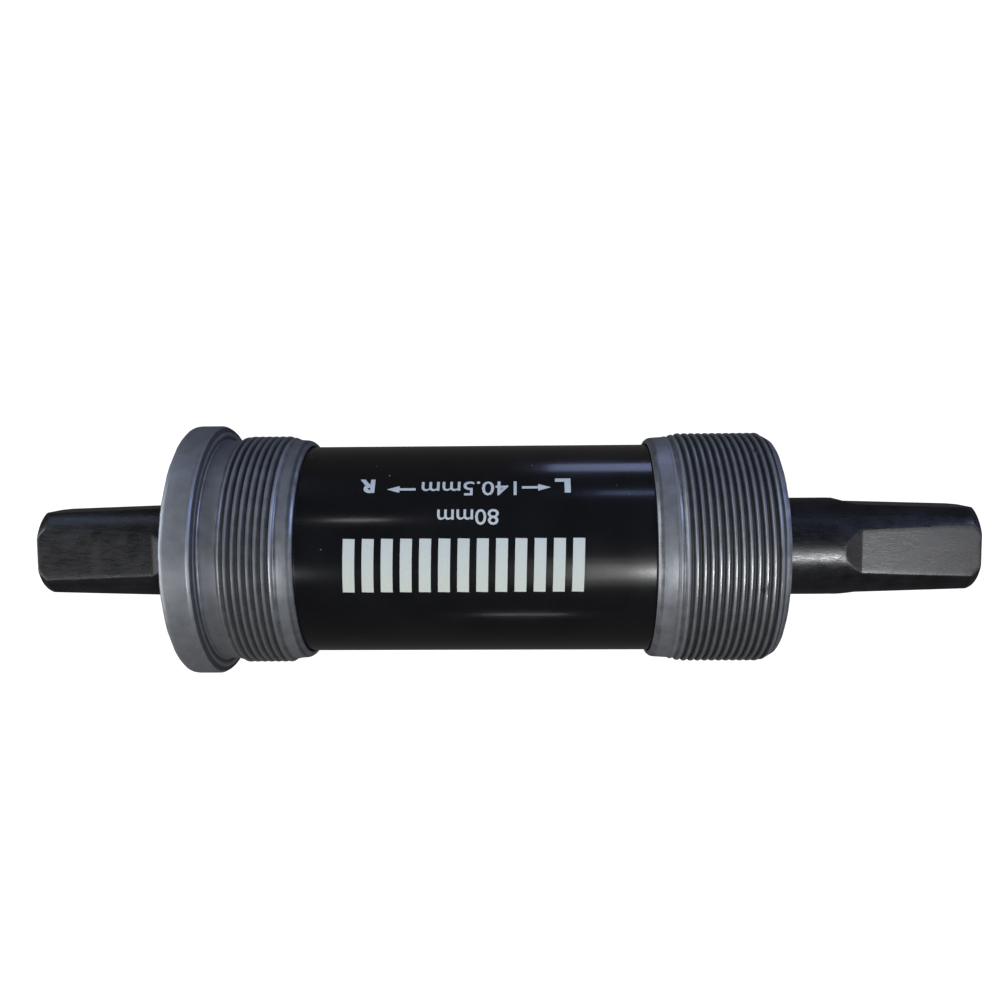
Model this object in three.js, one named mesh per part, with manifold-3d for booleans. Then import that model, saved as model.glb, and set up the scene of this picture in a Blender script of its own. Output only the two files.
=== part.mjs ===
// Square-taper cartridge bottom bracket for an 80 mm wide bicycle frame shell.
// Millimetres, +Z up, +X towards the front of the bicycle, +Y towards its left side. The spindle turns about Y,
// and the origin is the middle of the frame shell, so the drive side lies at negative Y.
import * as THREE from "three";
import { mergeVertices } from "three/addons/utils/BufferGeometryUtils.js";
import Module from "manifold-3d";

const wasm = await Module();
wasm.setup();

// ---------------------------------------------------------------------------------------------- dimensions
const SHELL_WIDTH = 80; // width of the frame shell that the cartridge fills
const SEAT_Y = -SHELL_WIDTH / 2; // face of the flange that meets the shell
const THREAD_PITCH = 25.4 / 24; // 24 threads per inch
const THREAD_R = 17.4; // 1.37 inch major diameter
const THREAD_ROOT_R = 16.85;

const SPINDLE_LENGTH = 140.5;
const SPINDLE_MIDDLE_Y = 2.65; // the spindle reaches further out on the left side
const STUB_R = 7.4; // round part outside the bearings, and the corners of the square
const JOURNAL_R = 8.5; // seat of each bearing
const SHOULDER_R = 9.75; // collar that keeps the bearings apart
const WAIST_R = 8.1; // thinner middle of the spindle
const TAPER_LENGTH = 17.6;
const TAPER_ANGLE = THREE.MathUtils.degToRad(2);
const SQUARE_TURN = THREE.MathUtils.degToRad(7.5); // how far the square is turned at rest, from +Z towards +X
const TAPER_END_HALF = 6.05; // half the distance across the flats at the spindle's end
const RAMP_LENGTH = 2.7; // cutter run-out between a flat and the round stub
const BOLT_HOLE_R = 3.45; // core hole of an M8 x 1 thread
const BOLT_HOLE_DEPTH = 24;

const SLEEVE_R = 15.7;
const SLEEVE_BORE_R = 15.0;
const FLANGE_R = 19.05;
const FLANGE_THICKNESS = 4.6;
const NECK_R = 16.8;
const NECK_END_Y = -36.4; // thread relief between the flange and the first thread
const CUP_BORE_R = 15.86; // slides over the sleeve
const CUP_MOUTH_R = 16.35; // outside of the thin inner end of each cup
const CUP_LAND_R = 16.85; // plain stretch beside the thread
const DRIVE_CUP_END_Y = -26.7;
const LEFT_CUP_INNER_Y = 24.2;
const LEFT_CUP_OUTER_Y = 42.5;

const SOCKET_DEPTH = 5.5; // splined recess for the fitting tool
const SPLINE_COUNT = 20;
const SPLINE_ROOT_R = 15.6;
const SPLINE_TIP_R = 14.7;
const WEB_THICKNESS = 3.6; // wall between the socket and the bearing
const WEB_BORE_R = 11.6;
const SEAL_GROOVE_R = 12.4;

const BEARING_WIDTH = 7; // 17 x 30 x 7 mm deep-groove ball bearings
const BEARING_OUTER_R = 14.95;
const BALL_COUNT = 11;
const BALL_R = 3.969 / 2;
const BALL_PITCH_R = 11.75;
const GROOVE_R = 2.1; // race groove around a ball
const INNER_LAND_R = 10.3;
const OUTER_LAND_R = 13.2;
const SEAL_STEP_R = 13.9; // step in the outer race that holds a bearing seal

const DRIVE_BEARING_Y = -31.7; // middle of each bearing
const LEFT_BEARING_Y = 29.1;
const CLIP_THICKNESS = 1.0;
const FIT = 0.05; // gap left between pieces that are pressed together
const CLEARANCE = 0.1; // gap between pieces that turn or slide past each other

const ROUND = 44; // sides of the round pieces
const ROUND_SMALL = 8; // sides of pins, pockets and small holes

// ---------------------------------------------------------------------------------------------- materials
const metal = (color, roughness, metalness) => new THREE.MeshStandardMaterial({ color, roughness, metalness });
const materials = {
  cupGrey: metal(0x5a5d63, 0.5, 0.6),
  sleeveBlack: metal(0x0b0b0e, 0.22, 0.3),
  spindleBlack: metal(0x17161a, 0.42, 0.7),
  raceSteel: metal(0xb9bcc0, 0.22, 1.0),
  ballChrome: metal(0xdfe2e6, 0.08, 1.0),
  cageSteel: metal(0xa9a394, 0.4, 1.0),
  sealRubber: metal(0x1a1a1b, 0.75, 0.0),
  springSteel: metal(0x3b3a3d, 0.35, 1.0),
  spacerTube: metal(0x8d9094, 0.45, 0.9),
};

// ---------------------------------------------------------------------------------------------- shape helpers
// A ring about Y from a closed outline of [radius, y] points, listed so that the outer wall runs towards +Y.
function turned(outline, sides = ROUND) {
  const points = outline.map(([r, y]) => new THREE.Vector2(r, y));
  points.push(points[0].clone());
  return new THREE.LatheGeometry(points, sides);
}

// A plain tube about Y.
function tube(innerR, outerR, fromY, toY, sides = ROUND) {
  return turned([[innerR, fromY], [outerR, fromY], [outerR, toY], [innerR, toY]], sides);
}

// The same outline seen from the other side: mirrored across the plane y = 0 and listed in reverse order.
const mirrored = (outline) => outline.map(([r, y]) => [r, -y]).reverse();

// Points on an arc about (r, y), from one angle to another, both in degrees from the +r direction.
function arc(r, y, radius, from, to, steps) {
  return Array.from({ length: steps + 1 }, (_, i) => {
    const a = THREE.MathUtils.degToRad(from + ((to - from) * i) / steps);
    return [r + radius * Math.cos(a), y + radius * Math.sin(a)];
  });
}

// Thread ridges between two heights: crest and root points every half pitch, lower at the two ends of the run.
function threadOutline(fromY, toY, fadeStart, fadeEnd) {
  const turns = Math.floor((toY - fromY) / THREAD_PITCH);
  const spare = (toY - fromY - turns * THREAD_PITCH) / 2;
  const points = [[THREAD_ROOT_R, fromY + spare]];
  for (let i = 0; i < turns; i += 1) {
    const y = fromY + spare + i * THREAD_PITCH;
    const faded = (fadeStart && i === 0) || (fadeEnd && i === turns - 1);
    points.push([faded ? THREAD_R - 0.2 : THREAD_R, y + THREAD_PITCH / 2], [THREAD_ROOT_R, y + THREAD_PITCH]);
  }
  return points;
}

function solid(geometry) {
  const bare = geometry.index ? geometry.toNonIndexed() : geometry.clone();
  const placed = new THREE.BufferGeometry().setAttribute("position", bare.getAttribute("position"));
  const merged = mergeVertices(placed, 1e-4);
  return new wasm.Manifold(
    new wasm.Mesh({
      numProp: 3,
      vertProperties: new Float32Array(merged.attributes.position.array),
      triVerts: new Uint32Array(merged.index.array),
    }),
  );
}

function geometryOf(manifold) {
  const mesh = manifold.getMesh();
  const position = new Float32Array(mesh.numVert * 3);
  for (let i = 0; i < mesh.numVert; i += 1) {
    position.set(mesh.vertProperties.subarray(i * mesh.numProp, i * mesh.numProp + 3), i * 3);
  }
  const geometry = new THREE.BufferGeometry()
    .setAttribute("position", new THREE.BufferAttribute(position, 3))
    .setIndex(new THREE.BufferAttribute(new Uint32Array(mesh.triVerts), 1));
  geometry.computeVertexNormals();
  return geometry;
}

// ---------------------------------------------------------------------------------------------- spindle
// One quarter of the cut that makes the square: everything above a flat that leans 2 degrees towards the end.
function flatCutter() {
  const beyond = 2;
  const high = STUB_R + 3;
  const flatStartHalf = TAPER_END_HALF + TAPER_LENGTH * Math.tan(TAPER_ANGLE);
  const end = SPINDLE_LENGTH / 2;
  const side = new THREE.Shape([
    new THREE.Vector2(end + beyond, TAPER_END_HALF - beyond * Math.tan(TAPER_ANGLE)),
    new THREE.Vector2(end + beyond, high),
    new THREE.Vector2(end - TAPER_LENGTH - RAMP_LENGTH, high),
    new THREE.Vector2(end - TAPER_LENGTH - RAMP_LENGTH, STUB_R + 0.02),
    new THREE.Vector2(end - TAPER_LENGTH, flatStartHalf),
  ]);
  const width = 4 * STUB_R;
  const cutter = new THREE.ExtrudeGeometry(side, { depth: width, bevelEnabled: false });
  // The outline's x runs along the spindle and its y away from the axis.
  const frame = new THREE.Matrix4().makeBasis(
    new THREE.Vector3(0, 1, 0), new THREE.Vector3(0, 0, 1), new THREE.Vector3(1, 0, 0));
  return cutter.translate(0, 0, -width / 2).applyMatrix4(frame);
}

// Half of the turned outline, measured from the spindle's middle outwards, for a journal between two heights.
function spindleHalf(journalFrom, clipFrom, journalTo) {
  const end = SPINDLE_LENGTH / 2;
  const taperStart = end - TAPER_LENGTH;
  const collar = 4;
  return [
    [WAIST_R, journalFrom - collar - 2.5],
    [SHOULDER_R, journalFrom - collar],
    [SHOULDER_R, journalFrom],
    [JOURNAL_R, journalFrom],
    [JOURNAL_R, clipFrom - CLEARANCE],
    [JOURNAL_R - 0.5, clipFrom - CLEARANCE],
    [JOURNAL_R - 0.5, clipFrom + CLIP_THICKNESS + CLEARANCE],
    [JOURNAL_R, clipFrom + CLIP_THICKNESS + CLEARANCE],
    [JOURNAL_R, journalTo - 0.3],
    [STUB_R, journalTo],
    [STUB_R, taperStart],
    [STUB_R - 0.2, end - 1.3],
    [STUB_R - 0.9, end],
    [BOLT_HOLE_R + 0.9, end],
    [BOLT_HOLE_R, end - 0.9],
    [BOLT_HOLE_R, end - BOLT_HOLE_DEPTH],
    [0, end - BOLT_HOLE_DEPTH - 2],
  ];
}

function spindle() {
  const halfBearing = BEARING_WIDTH / 2;
  const leftFrom = LEFT_BEARING_Y - halfBearing - SPINDLE_MIDDLE_Y - CLEARANCE;
  const driveFrom = SPINDLE_MIDDLE_Y - (DRIVE_BEARING_Y + halfBearing) - CLEARANCE;
  const reach = BEARING_WIDTH + 2 * CLEARANCE + 0.05;
  const left = spindleHalf(leftFrom, leftFrom + reach, leftFrom + reach + CLIP_THICKNESS + 0.95);
  const drive = spindleHalf(driveFrom, driveFrom + reach, driveFrom + reach + CLIP_THICKNESS + 0.95);
  const outline = [...mirrored(drive), ...left];
  let body = solid(new THREE.LatheGeometry(outline.map(([r, y]) => new THREE.Vector2(r, y)), ROUND));
  for (const endTurn of [0, Math.PI]) {
    for (let quarter = 0; quarter < 4; quarter += 1) {
      const cutter = flatCutter().rotateZ(endTurn).rotateY(SQUARE_TURN + (quarter * Math.PI) / 2);
      body = body.subtract(solid(cutter));
    }
  }
  return geometryOf(body).translate(0, SPINDLE_MIDDLE_Y, 0);
}

// ---------------------------------------------------------------------------------------------- cups
// Splined hole that the fitting tool enters, as a solid to cut away, from y = 0 upwards.
function socketCutter(depth) {
  const outline = [];
  const step = (2 * Math.PI) / SPLINE_COUNT;
  for (let i = 0; i < SPLINE_COUNT; i += 1) {
    for (const [share, r] of [[-0.3, SPLINE_TIP_R], [-0.2, SPLINE_ROOT_R], [0.2, SPLINE_ROOT_R], [0.3, SPLINE_TIP_R]]) {
      const a = (i + share) * step;
      outline.push(new THREE.Vector2(r * Math.cos(a), r * Math.sin(a)));
    }
  }
  return new THREE.ExtrudeGeometry(new THREE.Shape(outline), { depth, bevelEnabled: false }).rotateX(-Math.PI / 2);
}

// Inside wall of a cup from its socket floor to its inner end, for a cup whose socket opens towards -Y:
// the web with the seal's groove, then the bore for the sleeve.
function cupInside(outerY, innerEndY) {
  const web = outerY + SOCKET_DEPTH;
  return [
    [CUP_BORE_R, innerEndY],
    [CUP_BORE_R, web + WEB_THICKNESS],
    [WEB_BORE_R, web + WEB_THICKNESS],
    [WEB_BORE_R, web + 1.4],
    [SEAL_GROOVE_R, web + 1.4],
    [SEAL_GROOVE_R, web + 0.4],
    [WEB_BORE_R, web + 0.4],
    [WEB_BORE_R, outerY],
  ];
}

function withSocket(outline, outerY) {
  const beyond = 1;
  const cutter = socketCutter(SOCKET_DEPTH + beyond).translate(0, outerY - beyond, 0);
  return geometryOf(solid(turned(outline)).subtract(solid(cutter)));
}

function driveCup() {
  const outerY = SEAT_Y - FLANGE_THICKNESS;
  const fillet = THREAD_R - NECK_R + 0.05;
  const threadEnd = DRIVE_CUP_END_Y - 1.5;
  return withSocket([
    [FLANGE_R - 0.7, outerY],
    [FLANGE_R, outerY + 0.5],
    [FLANGE_R, SEAT_Y - 0.7],
    [FLANGE_R - 0.4, SEAT_Y],
    ...arc(NECK_R + fillet, SEAT_Y + fillet, fillet, 270, 180, 3),
    [NECK_R, NECK_END_Y - 0.3],
    ...threadOutline(NECK_END_Y, threadEnd, false, true),
    [CUP_LAND_R, threadEnd + 0.2],
    [CUP_LAND_R - 0.35, DRIVE_CUP_END_Y - 0.6],
    [CUP_MOUTH_R, DRIVE_CUP_END_Y],
    ...cupInside(outerY, DRIVE_CUP_END_Y),
  ], outerY);
}

// Made with its socket towards -Y, then turned round to face left.
function leftCup() {
  const outerY = -LEFT_CUP_OUTER_Y;
  const innerEndY = -LEFT_CUP_INNER_Y;
  const threadEnd = innerEndY - 2.8;
  const geometry = withSocket([
    [THREAD_R - 1.0, outerY],
    [THREAD_ROOT_R, outerY + 0.9],
    ...threadOutline(outerY + 1.7, threadEnd, true, true),
    [CUP_LAND_R, threadEnd + 0.2],
    [CUP_LAND_R - 0.35, innerEndY - 0.6],
    [CUP_MOUTH_R, innerEndY],
    ...cupInside(outerY, innerEndY),
  ], outerY);
  return geometry.rotateZ(Math.PI);
}

// ---------------------------------------------------------------------------------------------- bearings
function innerRace() {
  const h = BEARING_WIDTH / 2;
  const half = THREE.MathUtils.radToDeg(Math.acos((BALL_PITCH_R - INNER_LAND_R) / GROOVE_R));
  return turned([
    [JOURNAL_R + FIT, -h],
    [INNER_LAND_R, -h],
    ...arc(BALL_PITCH_R, 0, GROOVE_R, 180 + half, 180 - half, 4),
    [INNER_LAND_R, h],
    [JOURNAL_R + FIT, h],
  ]);
}

function outerRace() {
  const h = BEARING_WIDTH / 2;
  const step = 0.75;
  const half = THREE.MathUtils.radToDeg(Math.acos((OUTER_LAND_R - BALL_PITCH_R) / GROOVE_R));
  return turned([
    [BEARING_OUTER_R, -h],
    [BEARING_OUTER_R, h],
    [SEAL_STEP_R, h],
    [SEAL_STEP_R, h - step],
    [OUTER_LAND_R, h - step],
    ...arc(BALL_PITCH_R, 0, GROOVE_R, half, -half, 4),
    [OUTER_LAND_R, step - h],
    [SEAL_STEP_R, step - h],
    [SEAL_STEP_R, -h],
  ]);
}

// Thin ring that keeps the balls apart, with one round pocket for each ball.
function ballCage() {
  const halfWidth = 2.45;
  const pocketR = BALL_R + 0.3;
  let ring = solid(tube(BALL_PITCH_R - 0.7, BALL_PITCH_R + 0.7, -halfWidth, halfWidth, 2 * BALL_COUNT));
  for (let i = 0; i < BALL_COUNT; i += 1) {
    const pocket = new THREE.CylinderGeometry(pocketR, pocketR, 4, ROUND_SMALL);
    pocket.rotateX(Math.PI / 2).translate(0, 0, BALL_PITCH_R).rotateY((i * 2 * Math.PI) / BALL_COUNT);
    ring = ring.subtract(solid(pocket));
  }
  return geometryOf(ring);
}

// Flat rubber ring between the races, pushed into the step of the outer race.
function bearingSeal() {
  return tube(INNER_LAND_R + 0.12, SEAL_STEP_R - FIT, -0.3, 0.3);
}

// Wiper in the cup's web: a disc with a short lip that follows the spindle outwards (towards -Y).
function dustSeal() {
  const innerR = STUB_R + 0.2;
  return turned([
    [innerR, -1.1],
    [innerR + 0.6, -1.1],
    [innerR + 0.9, -0.45],
    [SEAL_GROOVE_R - 0.12, -0.45],
    [SEAL_GROOVE_R - 0.12, 0.45],
    [innerR, 0.45],
  ]);
}

// External retaining ring with two lugs and plier holes, lying between y = 0 and y = CLIP_THICKNESS.
function circlip() {
  const innerR = JOURNAL_R - 0.5 + FIT;
  const outerR = 9.7;
  const lugR = 1.25;
  const lugY = CLIP_THICKNESS / 2;
  const post = (radius, height, x, z) => {
    return solid(new THREE.CylinderGeometry(radius, radius, height, ROUND_SMALL).translate(x, lugY, z));
  };
  let ring = solid(tube(innerR, outerR, 0, CLIP_THICKNESS));
  ring = ring.subtract(solid(new THREE.BoxGeometry(5.4, 4, 8).translate(0, lugY, 10)));
  for (const side of [-1, 1]) {
    const x = side * 3.75;
    const z = 9.15;
    ring = ring.add(post(lugR, CLIP_THICKNESS, x, z)).subtract(post(0.6, 4, x, z));
  }
  return geometryOf(ring);
}

// Spring washer with three waves that presses the left bearing inwards.
function waveWasher() {
  const waves = 3;
  const height = 0.14;
  const washer = tube(OUTER_LAND_R, BEARING_OUTER_R - 0.1, -0.13, 0.13);
  const position = washer.getAttribute("position");
  for (let i = 0; i < position.count; i += 1) {
    const angle = Math.atan2(position.getX(i), position.getZ(i));
    position.setY(i, position.getY(i) + height * Math.sin(waves * angle));
  }
  return washer;
}

// ---------------------------------------------------------------------------------------------- assembly
const bottomBracket = new THREE.Group();

function add(name, geometry, material, y = 0) {
  const mesh = new THREE.Mesh(geometry, materials[material]);
  mesh.name = name;
  mesh.position.y = y;
  bottomBracket.add(mesh);
  return mesh;
}

function addBearing(side, y) {
  add(`${side}_inner_race`, innerRace(), "raceSteel", y);
  add(`${side}_outer_race`, outerRace(), "raceSteel", y);
  add(`${side}_ball_cage`, ballCage(), "cageSteel", y);
  for (let i = 0; i < BALL_COUNT; i += 1) {
    const angle = (i * 2 * Math.PI) / BALL_COUNT;
    const number = String(i + 1).padStart(2, "0");
    const ball = add(`${side}_ball_${number}`, new THREE.IcosahedronGeometry(BALL_R, 1), "ballChrome", y);
    ball.position.x = BALL_PITCH_R * Math.sin(angle);
    ball.position.z = BALL_PITCH_R * Math.cos(angle);
  }
  const sealOffset = BEARING_WIDTH / 2 - 0.38;
  const outwards = Math.sign(y);
  add(`${side}_bearing_outer_seal`, bearingSeal(), "sealRubber", y + outwards * sealOffset);
  add(`${side}_bearing_inner_seal`, bearingSeal(), "sealRubber", y - outwards * sealOffset);
}

const halfBearing = BEARING_WIDTH / 2;
const driveWebFace = SEAT_Y - FLANGE_THICKNESS + SOCKET_DEPTH + WEB_THICKNESS;
const leftWebFace = LEFT_CUP_OUTER_Y - SOCKET_DEPTH - WEB_THICKNESS;
const sealInWeb = WEB_THICKNESS - 0.9; // middle of the seal's groove, measured from the web's bearing side

add("spindle", spindle(), "spindleBlack");
add("cartridge_sleeve", tube(SLEEVE_BORE_R, SLEEVE_R, driveWebFace + CLEARANCE, leftWebFace - CLEARANCE), "sleeveBlack");
add("drive_cup", driveCup(), "cupGrey");
add("left_cup", leftCup(), "cupGrey");
addBearing("drive", DRIVE_BEARING_Y);
addBearing("left", LEFT_BEARING_Y);
add(
  "bearing_spacer_tube",
  tube(OUTER_LAND_R + 0.3, BEARING_OUTER_R,
    DRIVE_BEARING_Y + halfBearing + CLEARANCE, LEFT_BEARING_Y - halfBearing - CLEARANCE),
  "spacerTube",
);
add("drive_dust_seal", dustSeal(), "sealRubber", driveWebFace - sealInWeb);
add("left_dust_seal", dustSeal().rotateZ(Math.PI), "sealRubber", leftWebFace + sealInWeb);
const clipGap = 0.15; // from the inner race to its retaining ring
add("drive_circlip", circlip(), "springSteel", DRIVE_BEARING_Y - halfBearing - clipGap - CLIP_THICKNESS);
add("left_circlip", circlip(), "springSteel", LEFT_BEARING_Y + halfBearing + clipGap);
add("wave_washer", waveWasher(), "springSteel", (LEFT_BEARING_Y + halfBearing + leftWebFace) / 2);

export default bottomBracket;
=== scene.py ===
"""Sealed cartridge bottom bracket with a square-taper spindle: pieces, finishes and a plain studio stage.

Shapes are worked out in millimetres with numpy and put into meshes in metres. The spindle turns about the Y
axis, the flanged drive cup is at negative Y, and angles round the axis are counted from +Z towards +X.
"""
import math
from types import SimpleNamespace

import bmesh
import bpy
import numpy as np
from bpy.props import FloatProperty, FloatVectorProperty, IntProperty, PointerProperty
from mathutils import Matrix, Vector


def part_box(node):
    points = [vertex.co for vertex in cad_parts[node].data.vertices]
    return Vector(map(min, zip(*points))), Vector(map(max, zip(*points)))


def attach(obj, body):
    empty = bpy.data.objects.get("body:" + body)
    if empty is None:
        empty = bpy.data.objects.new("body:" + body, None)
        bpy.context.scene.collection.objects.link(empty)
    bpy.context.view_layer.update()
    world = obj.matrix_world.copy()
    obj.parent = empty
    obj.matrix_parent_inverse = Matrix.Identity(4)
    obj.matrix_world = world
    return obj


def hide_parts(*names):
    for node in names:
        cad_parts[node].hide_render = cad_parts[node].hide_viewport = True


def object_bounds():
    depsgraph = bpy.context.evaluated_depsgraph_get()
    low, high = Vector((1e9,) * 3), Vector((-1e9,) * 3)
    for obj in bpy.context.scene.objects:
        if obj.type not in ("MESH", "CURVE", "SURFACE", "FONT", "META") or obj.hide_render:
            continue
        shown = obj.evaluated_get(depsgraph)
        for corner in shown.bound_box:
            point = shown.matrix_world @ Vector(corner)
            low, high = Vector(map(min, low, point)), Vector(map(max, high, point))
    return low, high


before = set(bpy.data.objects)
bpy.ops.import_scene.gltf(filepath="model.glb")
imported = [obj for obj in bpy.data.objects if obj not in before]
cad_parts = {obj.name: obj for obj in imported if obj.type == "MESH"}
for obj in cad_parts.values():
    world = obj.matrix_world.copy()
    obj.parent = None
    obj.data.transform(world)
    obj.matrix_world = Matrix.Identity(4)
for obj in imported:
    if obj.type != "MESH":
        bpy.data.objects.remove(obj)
CAD_BOX = [list(corner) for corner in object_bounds()]
SIDES = ("drive", "left")

bl_info = {
    "name": "Square-taper bottom bracket",
    "version": (1, 0, 0),
    "blender": (4, 5, 0),
    "location": "3D View > Sidebar > Bottom bracket",
    "description": "Builds a sealed cartridge bottom bracket piece by piece, with finishes and a stage",
    "category": "Add Mesh",
}


def span(node, axis=1):
    """Lowest and highest coordinate of a CAD node along one axis, in millimetres."""
    low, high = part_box(node)
    return low[axis] * 1000, high[axis] * 1000


def plain(name, default, description, **limits):
    return FloatProperty(name=name, description=description, default=default, **limits)


def length(name, default, description):
    """A size in metres; the default is given in millimetres."""
    return plain(name, default / 1000, description, min=0, unit="LENGTH", precision=5)


def colour(name, default, description):
    kind = {"size": 3, "min": 0, "max": 1, "subtype": "COLOR"}
    return FloatVectorProperty(name=name, description=description, default=default, **kind)


def whole(name, default, description, least):
    return IntProperty(name=name, description=description, default=default, min=least)


def angle(name, degrees, description):
    return plain(name, math.radians(degrees), description, subtype="ANGLE", unit="ROTATION")


# ---- settings
class BracketSpindleSizes(bpy.types.PropertyGroup):
    stub: length("Stub radius", 7.4, "Round part of the spindle outside the bearings")
    journal: length("Journal radius", 8.5, "Seat of each bearing")
    shoulder: length("Shoulder radius", 9.75, "Collars that keep the bearings apart")
    waist: length("Waist radius", 8.1, "Thinner middle of the spindle")
    corner: length("Corner radius at the end", 7.2, "Distance from the axis to the square's corners")
    flat_length: length("Flat length", 17.6, "Length of each tapered flat")
    flat_half: length("Half across flats", 6.05, "Distance from the axis to a flat at the spindle's end")
    ramp: length("Run-out length", 2.7, "Slope between a flat and the round stub")
    taper: angle("Taper", 2, "Slope of each flat")
    turn: angle("Square turn", 7.5, "How far the square is turned at rest, from +Z towards +X")
    hole: length("Bolt thread core radius", 3.45, "Core radius of the thread in each end")
    hole_depth: length("Bolt hole depth", 24, "Depth of the hole in each end")


class BracketCupSizes(bpy.types.PropertyGroup):
    thread: length("Thread radius", 17.4, "Outside radius of the thread")
    root: length("Thread root radius", 16.84, "Radius at the bottom of the thread")
    pitch: length("Thread pitch", 25.4 / 24, "Twenty-four threads per inch")
    neck: length("Neck radius", 16.8, "Relief between the flange and the thread")
    land: length("Land radius", 16.85, "Plain stretch beside the thread")
    mouth: length("Mouth radius", 16.35, "Outside of the thin inner end")
    bore: length("Bore radius", 15.86, "Inside of the cup round the sleeve")
    web_bore: length("Web bore radius", 11.6, "Hole in the wall between socket and bearing")
    socket_depth: length("Socket depth", 5.5, "Depth of the splined tool socket")
    web: length("Web thickness", 3.6, "Wall between socket and bearing")
    spline_tip: length("Spline tip radius", 14.7, "Inner radius of the socket's teeth")
    spline_root: length("Spline root radius", 15.6, "Outer radius of the socket's grooves")
    flange: length("Flange thickness", 4.6, "Thickness of the drive cup's flange")
    splines: whole("Splines", 20, "Number of grooves in the tool socket", 6)


class BracketSleeveSizes(bpy.types.PropertyGroup):
    wall: length("Wall", 0.7, "Thickness of the sleeve's wall")
    ink: length("Print height", 0.018, "How far the printed marking stands proud")
    bars: whole("Bars", 13, "Number of bars in the printed panel", 1)


class BracketBearingSizes(bpy.types.PropertyGroup):
    ball: length("Ball radius", 3.969 / 2, "Radius of a ball")
    circle: length("Pitch radius", 11.75, "Radius of the circle through the balls' centres")
    groove: length("Groove radius", 2.1, "Radius of the race groove round a ball")
    inner_land: length("Inner land radius", 10.3, "Outside of the inner race")
    outer_land: length("Outer land radius", 13.2, "Inside of the outer race")
    seal_step: length("Seal step radius", 13.9, "Step in the outer race that holds a seal")
    outside: length("Outside radius", 14.95, "Outside of the outer race")
    balls: whole("Balls", 11, "Number of balls in each bearing", 3)


class BracketColours(bpy.types.PropertyGroup):
    cup: colour("Cup steel", (0.225, 0.232, 0.248), "Satin plating of both cups")
    rubbed: colour("Rubbed edges", (0.42, 0.41, 0.40), "Bare steel where edges and thread crests have rubbed")
    paint: colour("Black paint", (0.0035, 0.0034, 0.0042), "Gloss paint of the sleeve")
    ink: colour("Print ink", (0.60, 0.66, 0.69), "Pale ink of the printed marking")
    oxide: colour("Black oxide", (0.016, 0.0155, 0.018), "Finish of the spindle")
    race: colour("Race steel", (0.55, 0.56, 0.58), "Ground bearing steel")
    ball: colour("Ball steel", (0.75, 0.76, 0.78), "Polished balls")
    cage: colour("Cage steel", (0.50, 0.47, 0.41), "Pressed cages")
    rubber: colour("Rubber", (0.012, 0.012, 0.013), "Seals")
    spring: colour("Spring steel", (0.10, 0.09, 0.085), "Retaining rings and wave washer")
    spacer: colour("Spacer steel", (0.36, 0.37, 0.39), "Drawn tube between the bearings")
    floor: colour("Floor", (0.92, 0.92, 0.92), "Plain pale floor")


class BracketStageSettings(bpy.types.PropertyGroup):
    distance: length("Camera distance", 152.7, "Height of the camera above the spindle's axis")
    aside: length("Camera offset", 5.695, "How far the camera stands towards the left side")
    yaw: angle("Camera yaw", 1.404, "Turn of the camera about the line towards the front")
    pitch: angle("Camera pitch", 2.745, "Tilt of the camera about the spindle's direction")
    roll: angle("Camera roll", -0.30, "Turn of the camera about its own line of sight")
    lens: plain("Lens", 35.469, "Focal length on a 36 mm sensor", min=1, unit="CAMERA")
    light: plain("Light", 1.0, "Strength of every lamp", min=0)


PRESETS = {
    "bracket_spindle": BracketSpindleSizes,
    "bracket_cup": BracketCupSizes,
    "bracket_sleeve": BracketSleeveSizes,
    "bracket_bearing": BracketBearingSizes,
    "bracket_colours": BracketColours,
    "bracket_stage": BracketStageSettings,
}


def sizes(context, group):
    """The group's settings as plain numbers, with lengths in millimetres."""
    settings = getattr(context.scene, group)
    found = {}
    for name in settings.__annotations__:
        scale = 1000 if settings.bl_rna.properties[name].unit == "LENGTH" else 1
        found[name] = getattr(settings, name) * scale
    return SimpleNamespace(**found)


# ---- surfaces
FULL_TURN = 2 * np.pi


def even_columns(count):
    """Angles of evenly spaced columns from 0 to one full turn, both ends included."""
    return np.linspace(0, FULL_TURN, count + 1)


def spline_columns(count):
    """Columns round a cup: fourteen to a spline, close on its flanks. Share 0 is a groove's middle."""
    flank = [0.185, 0.21, 0.29, 0.315, 0.4]
    shares = np.array([-0.5, -0.4, -0.315, -0.29, -0.21, -0.185, -0.09, 0, 0.09, *flank])
    turns = (np.arange(count)[:, None] + shares).ravel() / count
    return np.append(turns, turns[0] + 1) * FULL_TURN


def spline_depth(angles, count, depth):
    """Groove depth at each angle: full within 0.2 of a spline's middle, none beyond 0.3, straight between."""
    share = np.abs(np.remainder(angles * count / FULL_TURN + 0.5, 1) - 0.5)
    return depth * np.clip((0.3 - share) / 0.1, 0, 1)


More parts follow.
